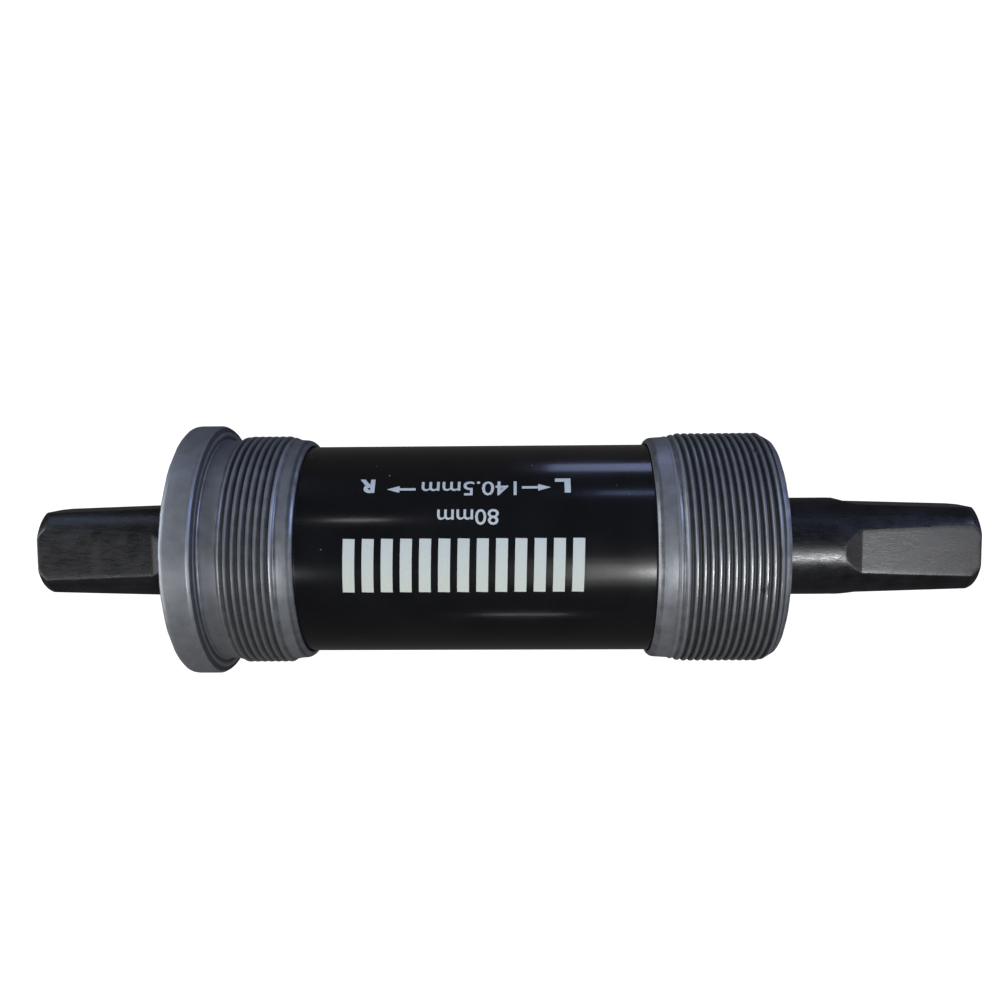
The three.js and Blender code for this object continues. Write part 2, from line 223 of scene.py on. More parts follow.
def softened(corners, steps=4, closed=True):
    """Outline of (radius, y, splined, wear, rounding) corners with each corner rounded.

    A corner P gives way to the curve (1-t)^2 A + 2t(1-t) P + t^2 B, where A and B lie `rounding` before
    and after it, or just under half the side if that is shorter. Wear rises from nothing at A and B to the
    corner's own in the middle. The result has the columns radius, y, splined and wear.
    """
    corner = np.array([list(c) + [0.0] * (5 - len(c)) for c in corners], float)
    shape, wear, rounding = corner[:, :3], corner[:, 3], corner[:, 4].copy()
    if not closed:
        rounding[[0, -1]] = 0
    t = np.linspace(0, 1, steps + 1)[None, :, None]
    ends = []
    for other in (np.roll(shape, 1, 0), np.roll(shape, -1, 0)):
        side = np.linalg.norm((other - shape)[:, :2], axis=1)
        share = np.minimum(rounding, 0.49 * side) / np.maximum(side, 1e-9)
        ends.append((shape + (other - shape) * share[:, None])[:, None, :])
    curve = (1 - t) ** 2 * ends[0] + 2 * t * (1 - t) * shape[:, None, :] + t**2 * ends[1]
    # A negative corner value is painted shade, which the cup finish darkens; a positive one is rubbed wear.
    rubbed = wear[:, None, None] * 4 * t * (1 - t)
    rows = np.concatenate((curve, rubbed + 0 * curve[..., :1]), axis=2).reshape(-1, 4)
    keep = np.append(True, np.abs(np.diff(rows[:, :2], axis=0)).max(axis=1) > 1e-6)
    rows = rows[keep]
    return np.vstack((rows, rows[:1])) if closed else rows


def around(radius, y, angles):
    """Points of a grid in cylindrical form: x = radius sin a, z = radius cos a."""
    radius, y, angles = np.broadcast_arrays(radius, y, angles)
    return np.stack((radius * np.sin(angles), y, radius * np.cos(angles)), axis=-1)


def turned(rows, angles, grooves=0.0):
    """Outline carried round the axis; splined rows are deepened by the groove depth at each angle."""
    radius = rows[:, 0:1] + rows[:, 2:3] * grooves
    return around(radius, rows[:, 1:2], angles[None, :]), np.repeat(rows[:, 3:4], len(angles), axis=1)


def smooth(share):
    """S-shaped rise from 0 to 1."""
    share = np.clip(share, 0, 1)
    return share * share * (3 - 2 * share)


# The plain turned stretches get a steady lift, which the cup finish shows as lighter steel. It is partly
# rubbed wear and partly painted light that brightens the neck in the flange's shade.
PLAIN_WEAR_AND_LIGHT = 0.3  # wear of the plain turned stretches of a cup, and of a thread where it runs out on them


def threaded(angles, low, high, pitch, hand, root, depth, ends, fades,
             limit=None, nicks=(), groove_shade=0.9, rows_per_turn=12):
    """Helical ridges between two heights, as a grid whose rows follow the helix.

    Row height is low + k pitch / rows_per_turn + hand pitch a / full turn, held within low and high. The
    ridge is an S-shaped rise and fall over each pitch, with a narrow flat crest. Radius is root + depth times
    ridge; over the fade at each end it passes to that end's own radius. It never exceeds the limit line
    (heights, radii), and each nick (y, angle, size, depth) takes a small round bite out of it. The wear value
    is high on the crest, for rubbed steel, and falls to minus `groove_shade` at the bottom of the groove,
    which the cup finish paints as shade; a nick lowers it in the bite and raises it in a ring round it.
    """
    turns = math.ceil((high - low) / pitch) + 1
    phase = np.arange(turns * rows_per_turn + 1) / rows_per_turn
    start = low - pitch if hand > 0 else low
    y = start + pitch * phase[:, None] + hand * pitch * (angles[None, :] - angles[0]) / FULL_TURN
    y = np.clip(y, low, high)
    away = np.abs(2 * np.remainder(phase, 1) - 1)[:, None]
    ridge = smooth((0.87 - away) / 0.76)
    knots = [low, low + fades[0], high - fades[1], high]
    window = np.interp(y, knots, [0, 1, 1, 0])
    radius = np.interp(y, knots, [ends[0], root, root, ends[1]]) + window * depth * ridge
    # Rubbed wear on the crests. The negative values in the groove bottoms are painted shade, which the cup
    # finish darkens. The run-out takes the plain stretches' steady value.
    wear = window * (ridge**4 - groove_shade * (1 - ridge)) + (1 - window) * PLAIN_WEAR_AND_LIGHT
    if limit is not None:
        top = np.interp(y, *limit)
        wear = np.where(radius > top, 0.35, wear)
        radius = np.minimum(radius, top)
    for place, at, size, bite in nicks:
        gap = ((y - place) ** 2 + (root * np.sin((angles - at) / 2) * 2) ** 2) / size**2
        radius = radius - bite * np.exp(-gap)
        wear = wear - 1.5 * np.exp(-gap) + 0.9 * np.exp(-(((gap - 1.6) / 0.7) ** 2))
    return around(radius, y, angles[None, :]), wear


def mesh_of(name, patches, sharp=38.0):
    """Closed mesh from (points, wear) grids that meet edge to edge; edges that meet are welded."""
    points, wear, faces, start = [], [], [], 0
    for grid, rubbed in patches:
        index = start + np.arange(grid.shape[0] * grid.shape[1]).reshape(grid.shape[:2])
        quads = np.stack((index[:-1, :-1], index[:-1, 1:], index[1:, 1:], index[1:, :-1]), axis=-1)
        points.append(grid.reshape(-1, 3))
        wear.append(np.broadcast_to(rubbed, grid.shape[:2]).ravel())
        faces.append(quads.reshape(-1, 4))
        start += index.size
    points, wear, faces = np.concatenate(points) / 1000, np.concatenate(wear), np.concatenate(faces)
    mesh = bpy.data.meshes.new(name)
    mesh.vertices.add(len(points))
    mesh.vertices.foreach_set("co", points.ravel())
    mesh.loops.add(faces.size)
    mesh.loops.foreach_set("vertex_index", faces.ravel())
    mesh.polygons.add(len(faces))
    mesh.polygons.foreach_set("loop_start", np.arange(0, faces.size, 4))
    mesh.update(calc_edges=True)
    # The wear attribute holds rubbed wear where it is positive (on a cup's plain stretches, partly painted
    # light) and painted shade where it is negative.
    mesh.attributes.new("wear", "FLOAT", "POINT").data.foreach_set("value", wear)
    work = bmesh.new()
    work.from_mesh(mesh)
    bmesh.ops.remove_doubles(work, verts=work.verts, dist=1.5e-6)
    bmesh.ops.dissolve_degenerate(work, dist=1e-7, edges=work.edges)
    open_edges = sum(not edge.is_manifold for edge in work.edges)
    work.to_mesh(mesh)
    work.free()
    if open_edges:
        raise RuntimeError(f"{name} has {open_edges} edges that are not closed")
    shade(mesh, sharp)
    return mesh


def shade(mesh, sharp):
    """Smooth shading that breaks where two faces meet at more than `sharp` degrees."""
    mesh.polygons.foreach_set("use_smooth", np.ones(len(mesh.polygons), bool))
    mesh.set_sharp_from_angle(angle=math.radians(sharp))


def piece(name, mesh, body, slot, finish, *nodes):
    """Puts a mesh in the scene as a piece that rides on a body, wears a finish and stands for CAD nodes."""
    made = bpy.data.objects.new(name, mesh)
    bpy.context.scene.collection.objects.link(made)
    mesh.materials.clear()
    mesh.materials.append(finish)
    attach(made, body)
    if nodes:
        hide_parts(*nodes)


# ---- node groups
def add(tree, kind, values=None, **settings):
    """Adds a node; values are numbers for its inputs, or sockets to link to them."""
    made = tree.nodes.new(kind)
    for name, value in settings.items():
        setattr(made, name, value)
    for name, value in (values or {}).items():
        if isinstance(value, bpy.types.NodeSocket):
            tree.links.new(value, made.inputs[name])
        else:
            made.inputs[name].default_value = value
    return made


def math_node(tree, operation, *values, clamp=False):
    made = add(tree, "ShaderNodeMath", dict(enumerate(values)), operation=operation, use_clamp=clamp)
    return made.outputs[0]


def times(tree, first, second):
    return math_node(tree, "MULTIPLY", first, second)


def plus(tree, first, second, clamp=False):
    return math_node(tree, "ADD", first, second, clamp=clamp)


def noise(tree, place, scale, detail, roughness=0.5):
    values = {"Vector": place, "Scale": scale, "Detail": detail, "Roughness": roughness}
    return add(tree, "ShaderNodeTexNoise", values).outputs[0]


def placed(tree):
    """Position in the piece's own space, in metres."""
    return add(tree, "ShaderNodeTexCoord").outputs["Object"]


def axes(tree):
    """The same position as three numbers."""
    return add(tree, "ShaderNodeSeparateXYZ", {0: placed(tree)}).outputs


def joined(tree, x, y, z):
    return add(tree, "ShaderNodeCombineXYZ", {0: x, 1: y, 2: z}).outputs[0]


def mixed(tree, share, first, second):
    """Colour between two colours."""
    made = add(tree, "ShaderNodeMix", data_type="RGBA")
    for index, value in ((0, share), (6, first), (7, second)):
        if isinstance(value, bpy.types.NodeSocket):
            tree.links.new(value, made.inputs[index])
        else:
            made.inputs[index].default_value = value if index == 0 else (*value, 1)
    return made.outputs[2]


def ranged(tree, value, low, high, to_low=0.0, to_high=1.0):
    """Value stretched from one range to another, held within it."""
    return add(tree, "ShaderNodeMapRange", {0: value, 1: low, 2: high, 3: to_low, 4: to_high}).outputs[0]


def group(name, inputs, outputs):
    """Empty shader node group with number inputs (name: default) and outputs."""
    tree = bpy.data.node_groups.new(name, "ShaderNodeTree")
    for label, default in inputs.items():
        socket = tree.interface.new_socket(label, in_out="INPUT", socket_type="NodeSocketFloat")
        socket.default_value = default
    for label in outputs:
        tree.interface.new_socket(label, in_out="OUTPUT", socket_type="NodeSocketFloat")
    return tree, add(tree, "NodeGroupInput").outputs, add(tree, "NodeGroupOutput").inputs


def give(tree, result, *values):
    """Links the values to the group's outputs in order, and gives the group."""
    for value, socket in zip(values, result):
        tree.links.new(value, socket)
    return tree


def per_mm(tree, size):
    """Texture scale for a feature size in millimetres."""
    return math_node(tree, "DIVIDE", 1000.0, size)


def cell_pattern(tree, size):
    """Cells of a size in millimetres: the distance to a cell's middle, and the cell's random colour."""
    cells = add(tree, "ShaderNodeTexVoronoi", {"Vector": placed(tree), "Scale": per_mm(tree, size)}).outputs
    return cells["Distance"], add(tree, "ShaderNodeSeparateColor", {0: cells["Color"]}).outputs


def turning_group():
    """Fine lines left by the lathe: noise that depends on radius and Y, and only slightly on the angle."""
    tree, given, result = group("Turning lines", {"Lines per mm": 7.0, "Drift": 0.06}, ("Height", "Tone"))
    x, y, z = axes(tree)
    flat = joined(tree, x, z, 0.0)
    radius = add(tree, "ShaderNodeVectorMath", {0: flat}, operation="LENGTH").outputs["Value"]
    lines = times(tree, given[0], 1000.0)
    drift = times(tree, lines, given[1])
    across = times(tree, plus(tree, y, times(tree, radius, 1.7)), lines)
    vector = joined(tree, across, times(tree, x, drift), times(tree, z, drift))
    return give(tree, result, noise(tree, vector, 1.0, 2.0, 0.7), noise(tree, vector, 0.12, 1.0))


def grain_group():
    """Fine tooth of a blasted or plated surface, cloudy changes of tone, and scattered bright flecks."""
    defaults = {"Grain mm": 0.16, "Cloud mm": 4.0, "Fleck mm": 0.3, "Flecks": 0.06}
    tree, given, result = group("Plated grain", defaults, ("Height", "Cloud", "Fleck"))
    grain = noise(tree, placed(tree), per_mm(tree, given[0]), 2.0)
    cloud = noise(tree, placed(tree), per_mm(tree, given[1]), 3.0)
    distance, chance = cell_pattern(tree, given[2])
    chosen = math_node(tree, "LESS_THAN", chance[0], given[3])
    spot = ranged(tree, distance, 0.15, 0.42, 1.0, 0.0)
    return give(tree, result, grain, cloud, times(tree, chosen, spot))


def rubbed_group():
    """Worn edges: the upper part of the piece's wear value, broken up by noise and sharpened into patches."""
    defaults = {"Wear": 0.0, "Patch mm": 0.9, "Amount": 0.5}
    tree, given, result = group("Rubbed edges", defaults, ("Mask",))
    patch = noise(tree, placed(tree), per_mm(tree, given[1]), 4.0, 0.65)
    strong = times(tree, given[0], plus(tree, patch, given[2]))
    return give(tree, result, ranged(tree, strong, 0.35, 1.05))


def dust_group():
    """Tiny specks of dust: round spots in a few cells of a cell pattern, each of its own size."""
    tree, given, result = group("Dust", {"Cell mm": 1.6, "Share": 0.2, "Size": 0.1}, ("Mask",))
    distance, chance = cell_pattern(tree, given[0])
    chosen = math_node(tree, "LESS_THAN", chance[0], given[1])
    inside = math_node(tree, "LESS_THAN", distance, times(tree, given[2], chance[1]))
    return give(tree, result, times(tree, chosen, times(tree, inside, chance[2])))


def brushed_group():
    """Strokes along the spindle: noise squeezed across Y and stretched along it."""
    defaults = {"Strokes per mm": 9.0, "Stretch": 14.0}
    tree, given, result = group("Brushed along the axis", defaults, ("Height", "Tone"))
    x, y, z = axes(tree)
    fine = times(tree, given[0], 1000.0)
    along = math_node(tree, "DIVIDE", fine, given[1])
    vector = joined(tree, times(tree, x, fine), times(tree, y, along), times(tree, z, fine))
    return give(tree, result, noise(tree, vector, 1.0, 2.0, 0.6), noise(tree, vector, 0.25, 2.0))


GROUPS = {
    "Turning lines": turning_group,
    "Plated grain": grain_group,
    "Rubbed edges": rubbed_group,
    "Dust": dust_group,
    "Brushed along the axis": brushed_group,
}


def effect(tree, name, **values):
    """Places a shared effect in a material; underscores in the value names stand for spaces."""
    shared = bpy.data.node_groups.get(name) or GROUPS[name]()
    values = {label.replace("_", " "): value for label, value in values.items()}
    return add(tree, "ShaderNodeGroup", values, node_tree=shared).outputs


# ---- finishes
def material(name, **constants):
    """New material with a Principled shader; constants are set on the shader's own sockets."""
    made = bpy.data.materials.new(name)
    made.use_nodes = True
    tree = made.node_tree
    shader = tree.nodes["Principled BSDF"]
    for label, value in constants.items():
        shader.inputs[label.replace("_", " ")].default_value = value
    return made, tree, shader.inputs


def dressed(made, tree, inputs, tone, rough, *layers):
    """Links colour, roughness if there is any, and (height, depth in millimetres) layers of relief."""
    tree.links.new(tone, inputs["Base Color"])
    if rough is not None:
        tree.links.new(rough, inputs["Roughness"])
    normal = {}
    for height, depth in layers:
        values = {"Height": height, "Distance": depth / 1000, "Strength": 1.0}
        normal = {"Normal": add(tree, "ShaderNodeBump", values | normal).outputs[0]}
    tree.links.new(normal["Normal"], inputs["Normal"])
    return made


def clouded(tree, share, base, dark, bright):
    """Colour that follows a noise from a darker to a brighter shade of the base."""
    return mixed(tree, ranged(tree, share, 0.3, 0.7), base * dark, np.minimum(base * bright, 1))


def wear_and_shade_of(tree):
    return add(tree, "ShaderNodeAttribute", attribute_name="wear").outputs["Fac"]


def cup_steel(palette):
    made, tree, inputs = material("Satin cup steel")
    wear = wear_and_shade_of(tree)
    grain = effect(tree, "Plated grain", Grain_mm=0.20, Cloud_mm=1.6, Fleck_mm=0.24, Flecks=0.16)
    lines = effect(tree, "Turning lines", Lines_per_mm=3.2, Drift=0.06)
    rubbed = effect(tree, "Rubbed edges", Wear=wear, Patch_mm=0.7, Amount=0.30)[0]
    base = np.array(palette.cup)
    tone = clouded(tree, grain[1], base, 0.72, 1.28)
    tone = mixed(tree, ranged(tree, lines[1], 0.35, 0.7, 0.0, 0.5), tone, base * 0.6)
    # Lighter where the wear value is positive: rubbed steel on crests and edges, and, on the plain turned
    # stretches, partly painted light that brightens the shaded neck.
    tone = mixed(tree, ranged(tree, wear, 0.02, 0.45, 0.0, 0.75), tone, base * 1.5)
    tone = mixed(tree, times(tree, grain[2], 0.30), tone, palette.rubbed)
    tone = mixed(tree, times(tree, rubbed, 0.5), tone, palette.rubbed)
    # Painted shade: where the wear value is negative (in the thread grooves, in the fillet behind the drive
    # cup's flange and on the edge of its mouth), the colour is darkened towards a fifth of the base. The
    # bites of the nicks darken the same way.
    tone = mixed(tree, ranged(tree, wear, -0.75, -0.05, 0.85, 0.0), tone, base * 0.22)
    rough = ranged(tree, grain[1], 0.2, 0.8, 0.27, 0.36)
    rough = plus(tree, rough, ranged(tree, wear, 0.02, 0.3, 0.0, 0.12))
    rough = plus(tree, rough, ranged(tree, wear, -0.6, -0.05, 0.28, 0.0))
    rough = plus(tree, rough, times(tree, grain[2], -0.14))
    rough = plus(tree, rough, times(tree, rubbed, -0.08), clamp=True)
    metal = plus(tree, 0.6, times(tree, rubbed, 0.3), clamp=True)
    tree.links.new(metal, inputs["Metallic"])
    return dressed(made, tree, inputs, tone, rough, (lines[0], 0.009), (grain[0], 0.018))


def gloss_paint(palette):
    made, tree, inputs = material("Gloss black paint", Coat_Weight=0.5, Coat_Roughness=0.1, IOR=1.5)
    grain = effect(tree, "Plated grain", Grain_mm=0.5, Cloud_mm=7.0, Fleck_mm=0.3, Flecks=0.0)
    dust = effect(tree, "Dust", Cell_mm=1.5, Share=0.16, Size=0.075)[0]
    tone = clouded(tree, grain[1], np.array(palette.paint), 0.75, 1.35)
    tone = mixed(tree, times(tree, dust, 0.75), tone, (0.42, 0.44, 0.44))
    rough = plus(tree, ranged(tree, grain[1], 0.2, 0.8, 0.16, 0.26), times(tree, dust, 0.6))
    return dressed(made, tree, inputs, tone, rough, (grain[0], 0.0045))


def print_ink(palette):
    made, tree, inputs = material("Pale print ink", Roughness=0.55, Specular_IOR_Level=0.35)
    grain = effect(tree, "Plated grain", Grain_mm=0.12, Cloud_mm=1.1, Fleck_mm=0.22, Flecks=0.05)
    base = np.array(palette.ink)
    towards_warm_lamps = axes(tree)[0]
    tone = clouded(tree, grain[0], base, 0.86, 1.12)
    # Painted light: across the print the ink turns brighter and warmer towards +X, the side the warm key
    # lamps light it from.
    tone = mixed(tree, ranged(tree, towards_warm_lamps, -0.006, 0.007, 0.0, 0.75), tone, base * (1.22, 1.16, 0.92))
    tone = mixed(tree, times(tree, grain[2], 0.5), tone, base * 0.55)
    return dressed(made, tree, inputs, tone, None, (grain[0], 0.004))


def black_oxide(palette):
    made, tree, inputs = material("Black oxide steel", Specular_IOR_Level=1.0)
    grain = effect(tree, "Plated grain", Grain_mm=0.20, Cloud_mm=3.0, Fleck_mm=0.28, Flecks=0.035)
    strokes = effect(tree, "Brushed along the axis", Strokes_per_mm=5.5, Stretch=9.0)
    rubbed = effect(tree, "Rubbed edges", Wear=wear_and_shade_of(tree), Patch_mm=1.1, Amount=0.30)[0]
    base = np.array(palette.oxide)
    tone = clouded(tree, grain[1], base, 0.7, 1.5)
    tone = mixed(tree, ranged(tree, strokes[1], 0.45, 0.75, 0.0, 0.5), tone, base * 2.2)
    tone = mixed(tree, times(tree, grain[2], 0.35), tone, base * 6)
    tone = mixed(tree, times(tree, rubbed, 0.30), tone, np.array(palette.rubbed) * 0.7)
    streaks = ranged(tree, strokes[0], 0.25, 0.75, 0.18, 0.36)
    rough = plus(tree, streaks, ranged(tree, grain[1], 0.3, 0.7, 0.0, 0.08))
    metal = plus(tree, 0.5, times(tree, rubbed, 0.4), clamp=True)
    tree.links.new(metal, inputs["Metallic"])
    return dressed(made, tree, inputs, tone, rough, (strokes[0], 0.0075), (grain[0], 0.009))


def ground_steel(name, tint, roughness, lines):
    """Bright machined steel with lathe lines, used with different values for several inner pieces."""
    made, tree, inputs = material(name, Metallic=1.0)
    turn = effect(tree, "Turning lines", Lines_per_mm=lines, Drift=0.02)
    grain = effect(tree, "Plated grain", Grain_mm=0.2, Cloud_mm=2.5, Fleck_mm=0.3, Flecks=0.01)
    base = np.array(tint)
    tone = clouded(tree, turn[1], base, 0.86, 1.1)
    tone = mixed(tree, ranged(tree, grain[1], 0.45, 0.8, 0.0, 0.35), tone, base * (0.9, 0.84, 0.74))
    rough = ranged(tree, grain[1], 0.2, 0.8, roughness * 0.8, roughness * 1.3)
    return dressed(made, tree, inputs, tone, rough, (turn[0], 0.004 + 0.01 * roughness))


def seal_rubber(palette):
    made, tree, inputs = material("Seal rubber", Specular_IOR_Level=0.4)
    grain = effect(tree, "Plated grain", Grain_mm=0.25, Cloud_mm=3.0, Fleck_mm=0.5, Flecks=0.02)
    dust = effect(tree, "Dust", Cell_mm=1.2, Share=0.25, Size=0.09)[0]
    tone = clouded(tree, grain[1], np.array(palette.rubber), 0.8, 1.8)
    tone = mixed(tree, times(tree, dust, 0.5), tone, (0.3, 0.3, 0.29))
    rough = ranged(tree, grain[0], 0.2, 0.8, 0.55, 0.78)
    return dressed(made, tree, inputs, tone, rough, (grain[0], 0.02))


def spring_steel(palette):
    made, tree, inputs = material("Blued spring steel", Metallic=1.0)
    grain = effect(tree, "Plated grain", Grain_mm=0.18, Cloud_mm=2.2, Fleck_mm=0.3, Flecks=0.03)
    tone = clouded(tree, grain[1], np.array(palette.spring), (0.7, 0.8, 1.1), (1.7, 1.5, 1.3))
    tone = mixed(tree, times(tree, grain[2], 0.5), tone, (0.4, 0.4, 0.4))
    rough = ranged(tree, grain[0], 0.2, 0.8, 0.28, 0.44)
    return dressed(made, tree, inputs, tone, rough, (grain[0], 0.008))


BARE_STEELS = {
    "Ground race steel": ("race", 0.24, 9.0),
    "Polished ball steel": ("ball", 0.07, 3.0),
    "Pressed cage steel": ("cage", 0.38, 5.0),
    "Drawn spacer steel": ("spacer", 0.42, 6.0),
}
FINISHES = {
    "Satin cup steel": cup_steel,
    "Gloss black paint": gloss_paint,
    "Pale print ink": print_ink,
    "Black oxide steel": black_oxide,
    "Seal rubber": seal_rubber,
    "Blued spring steel": spring_steel,
}


def finish(context, name):
    """The finish of this name, made the first time it is asked for."""
    if name in bpy.data.materials:
        return bpy.data.materials[name]
    palette = context.scene.bracket_colours
    if name in BARE_STEELS:
        tint, roughness, lines = BARE_STEELS[name]
        return ground_steel(name, getattr(palette, tint), roughness, lines)
    return FINISHES[name](palette)


# ---- spindle
def square_columns(reach, turn):
    """Angles of 128 columns round the spindle for rows whose flats reach `reach` radians to each side.

    Each quarter has eight columns over its first corner, one on each edge of the flat, fifteen across the
    flat and seven over its other corner. Gives the whole angles, and those from the nearest flat's middle.
    """
    reach = reach[:, None]
    edge = np.radians(0.9)
    corner = reach + edge + (np.pi / 4 - reach - edge) * np.linspace(0, 1, 8)
    across = (reach - edge) * np.linspace(-1, 1, 15)
    quarter = np.concatenate((-corner[:, ::-1], -reach, across, reach, corner[:, :-1]), axis=1)
    offsets = np.arange(4)[None, :, None] * np.pi / 2
    whole = (quarter[:, None, :] + offsets).reshape(len(reach), -1)
    local = np.tile(quarter, (1, 4))
    whole = np.concatenate((whole, whole[:, :1] + FULL_TURN), axis=1) + turn
    return whole, np.concatenate((local, local[:, :1]), axis=1)


def spindle_end_rows(s, half):
    """Rows (distance from the spindle's middle, radius, flat distance, wear) from the plain stub to the end.

    A flat at distance h cuts a circle of radius R where cos(a) = h / R. Rows over the run-out are placed at
    even steps of that angle, which keeps the edge of its crescent crisp.
    """
    slope, chamfer = math.tan(s.taper), 1.3
    flat_start = half - s.flat_length
    ramp_start = flat_start - s.ramp
    h_start = s.flat_half + s.flat_length * slope
    reach = np.radians(np.linspace(2.0, math.degrees(math.acos(h_start / s.stub)), 12))
    h_ramp = s.stub * np.cos(reach)
    along = ramp_start + s.ramp * (s.stub - h_ramp) / (s.stub - h_start)
    ramp = np.stack((along, 0 * along + s.stub, h_ramp, 0 * along), axis=1)
    place = np.linspace(flat_start + 1.5, half - chamfer - 0.1, 12)
    place = np.concatenate((flat_start + np.array([0.04, 0.12, 0.4]), place))
    share = (place - flat_start) / s.flat_length
    corner = s.stub + (s.corner - s.stub) * share
    flats = np.stack((place, corner, s.flat_half + (half - place) * slope, 0.12 + 0 * share), axis=1)
    u = np.array([0, 0.06, 0.2, 0.4, 0.6, 0.8, 0.93, 1.0])
    bevel = np.stack((
        half - chamfer * (1 - u), s.corner - 0.7 * u - 0.06 * u**8,
        s.flat_half + chamfer * (1 - u) * slope - 0.05 * u**16,
        0.5 * np.exp(-((u - 0.02) / 0.1) ** 2) + 0.6 * u**12,
    ), axis=1)
    return np.concatenate((ramp, flats, bevel))


NO_FLAT = 99.0  # flat distance of a row that is round all the way


def body_corners(s, side, sign):
    """Corners of one half of the spindle, from its waist out to the plain stub."""
    race, clip = span(f"{side}_inner_race"), span(f"{side}_circlip")
    if sign < 0:
        race, clip = (-race[1], -race[0]), (-clip[1], -clip[0])
    inner, clip_from, clip_to = race[0] - 0.1, clip[0] - 0.1, clip[1] + 0.1
    groove = s.journal - 0.5
    corners = [
        (s.waist, inner - 6.5, 0, 0, 0.8), (s.shoulder, inner - 4, 0, 0.3, 0.6),
        (s.shoulder, inner, 0, 0.5, 0.15), (s.journal - 0.1, inner, 0, 0, 0.05),
        (s.journal, inner + 0.5, 0, 0, 0.1), (s.journal, clip_from, 0, 0.4, 0.08),
        (groove, clip_from, 0, 0, 0.05), (groove, clip_to, 0, 0, 0.05),
        (s.journal, clip_to, 0, 0.4, 0.08), (s.journal, clip_to + 0.5, 0, 0.3, 0.15),
        (s.stub, clip_to + 0.9, 0, 0, 0.2),
    ]
    return [(r, sign * y, *rest) for r, y, *rest in corners]


def bolt_hole(s, rim, worn, turn, end, sign):
    """Grids of an end face, its chamfered hole, the thread and the bottom, from the shaft's rim inwards."""
    hole, chamfer, thread_stop = s.hole, end - sign * 1.3, end - sign * 14
    face = softened([
        (hole + 1.9, end, 0, 0, 0), (hole + 1.0, end, 0, 0.4, 0.15),
        (hole + 0.1, end - sign * 0.9, 0, 0, 0.1), (hole, chamfer, 0, 0, 0),
    ], closed=False)
    face_grid, face_wear = turned(face, turn)
    face_grid, face_wear = np.concatenate((rim[None], face_grid)), np.concatenate((worn[None], face_wear))
    low, high = sorted((chamfer, thread_stop))
    ridges, crests = threaded(turn, low, high, 1.0, 1, hole, 0.48, (hole, hole), (0.6, 0.6), rows_per_turn=8)
    bottom = [(hole, thread_stop, 0, 0), (hole, end - sign * s.hole_depth, 0, 0)]
    bottom.append((0, end - sign * (s.hole_depth + 2), 0, 0))
    inner, inner_wear = turned(np.array(bottom), turn)
    return [(face_grid[::sign], face_wear[::sign]), (ridges[::-1], 0.3 * crests[::-1]),
            (inner[::sign], inner_wear[::sign])]


def spindle_grids(s, low, high):
    """All the grids of the spindle: the shaft from end to end, then the face and bolt hole of each end."""
    middle, half = (low + high) / 2, (high - low) / 2
    rows = spindle_end_rows(s, half)
    relax = rows[0, 0] - np.array([[2.4], [1.5], [0.7]])
    centre = softened(body_corners(s, "drive", -1)[::-1] + body_corners(s, "left", 1), closed=False)
    round_rows = np.stack((centre[:, 1], centre[:, 0], 0 * centre[:, 0] + NO_FLAT, centre[:, 3]), axis=1)
    loose = np.concatenate((relax, 0 * relax + s.stub, 0 * relax + NO_FLAT, 0 * relax), axis=1)
    left_end = np.concatenate((loose, rows))
    drive_end = left_end[::-1].copy()
    left_end[:, 0] += middle
    drive_end[:, 0] = middle - drive_end[:, 0]
    table = np.concatenate((drive_end, round_rows, left_end))

    y, radius, flat, wear = (table[:, i:i + 1] for i in range(4))
    is_round = flat == NO_FLAT
    reach = np.arccos(np.clip(flat / radius, 0, 1))[:, 0]
    reach = np.where(is_round[:, 0], np.radians(28), np.maximum(reach, np.radians(2.0)))
    easing = np.radians([9, 17, 24])
    drive_last, left_first = len(drive_end), len(table) - len(left_end)
    reach[drive_last - 3:drive_last], reach[left_first:left_first + 3] = easing, easing[::-1]
    angles, local = square_columns(reach, s.turn)
    soft = 0.035
    cut = flat / np.cos(local)
    blended = -soft * np.logaddexp(-radius / soft, -cut / soft)
    blended = np.where(is_round, radius, blended)
    crease = np.exp(-((cut - radius) / 0.12) ** 2) * ~is_round
    shaft, worn = around(blended, y, angles), np.maximum(wear, 0.75 * crease)
    grids = [(shaft, worn)]
    for sign, edge in ((-1, 0), (1, -1)):
        grids += bolt_hole(s, shaft[edge], worn[edge], angles[edge], middle + sign * half, sign)
    return grids


class BracketSpindle(bpy.types.Operator):
    """Make the spindle: a turned shaft with a tapered square and a threaded hole at each end"""
    bl_idname = "bracket.spindle"
    bl_label = "Spindle"

    def execute(self, context):
        grids = spindle_grids(sizes(context, "bracket_spindle"), *span("spindle"))
        mesh = mesh_of("spindle_shaft", grids, sharp=32)
        steel = finish(context, "Black oxide steel")
        piece("spindle_shaft", mesh, "spindle", "spindle_black_oxide", steel, "spindle")
        return {"FINISHED"}


# ---- cups and sleeve
def socket_corners(c, face, out):
    """Corners from a cup's outer face to its bearing side: chamfered splines, socket floor, seal groove."""
    floor = face - out * c.socket_depth
    web = floor - out * c.web
    return [
        (c.spline_tip + 0.35, face, 0.85, 0.3, 0.1), (c.spline_tip, face - out * 0.4, 1, 0.4, 0.15),
        (c.spline_tip, floor, 1, 0, 0.25), (c.web_bore, floor, 0, 0.3, 0.2),
        (c.web_bore, floor - out * 0.4, 0, 0, 0.05), (c.web_bore + 0.8, floor - out * 0.4, 0, 0, 0.05),
        (c.web_bore + 0.8, floor - out * 1.4, 0, 0, 0.05), (c.web_bore, floor - out * 1.4, 0, 0, 0.05),
        (c.web_bore, web, 0, 0.2, 0.15), (c.bore, web, 0, 0, 0.15),
    ]


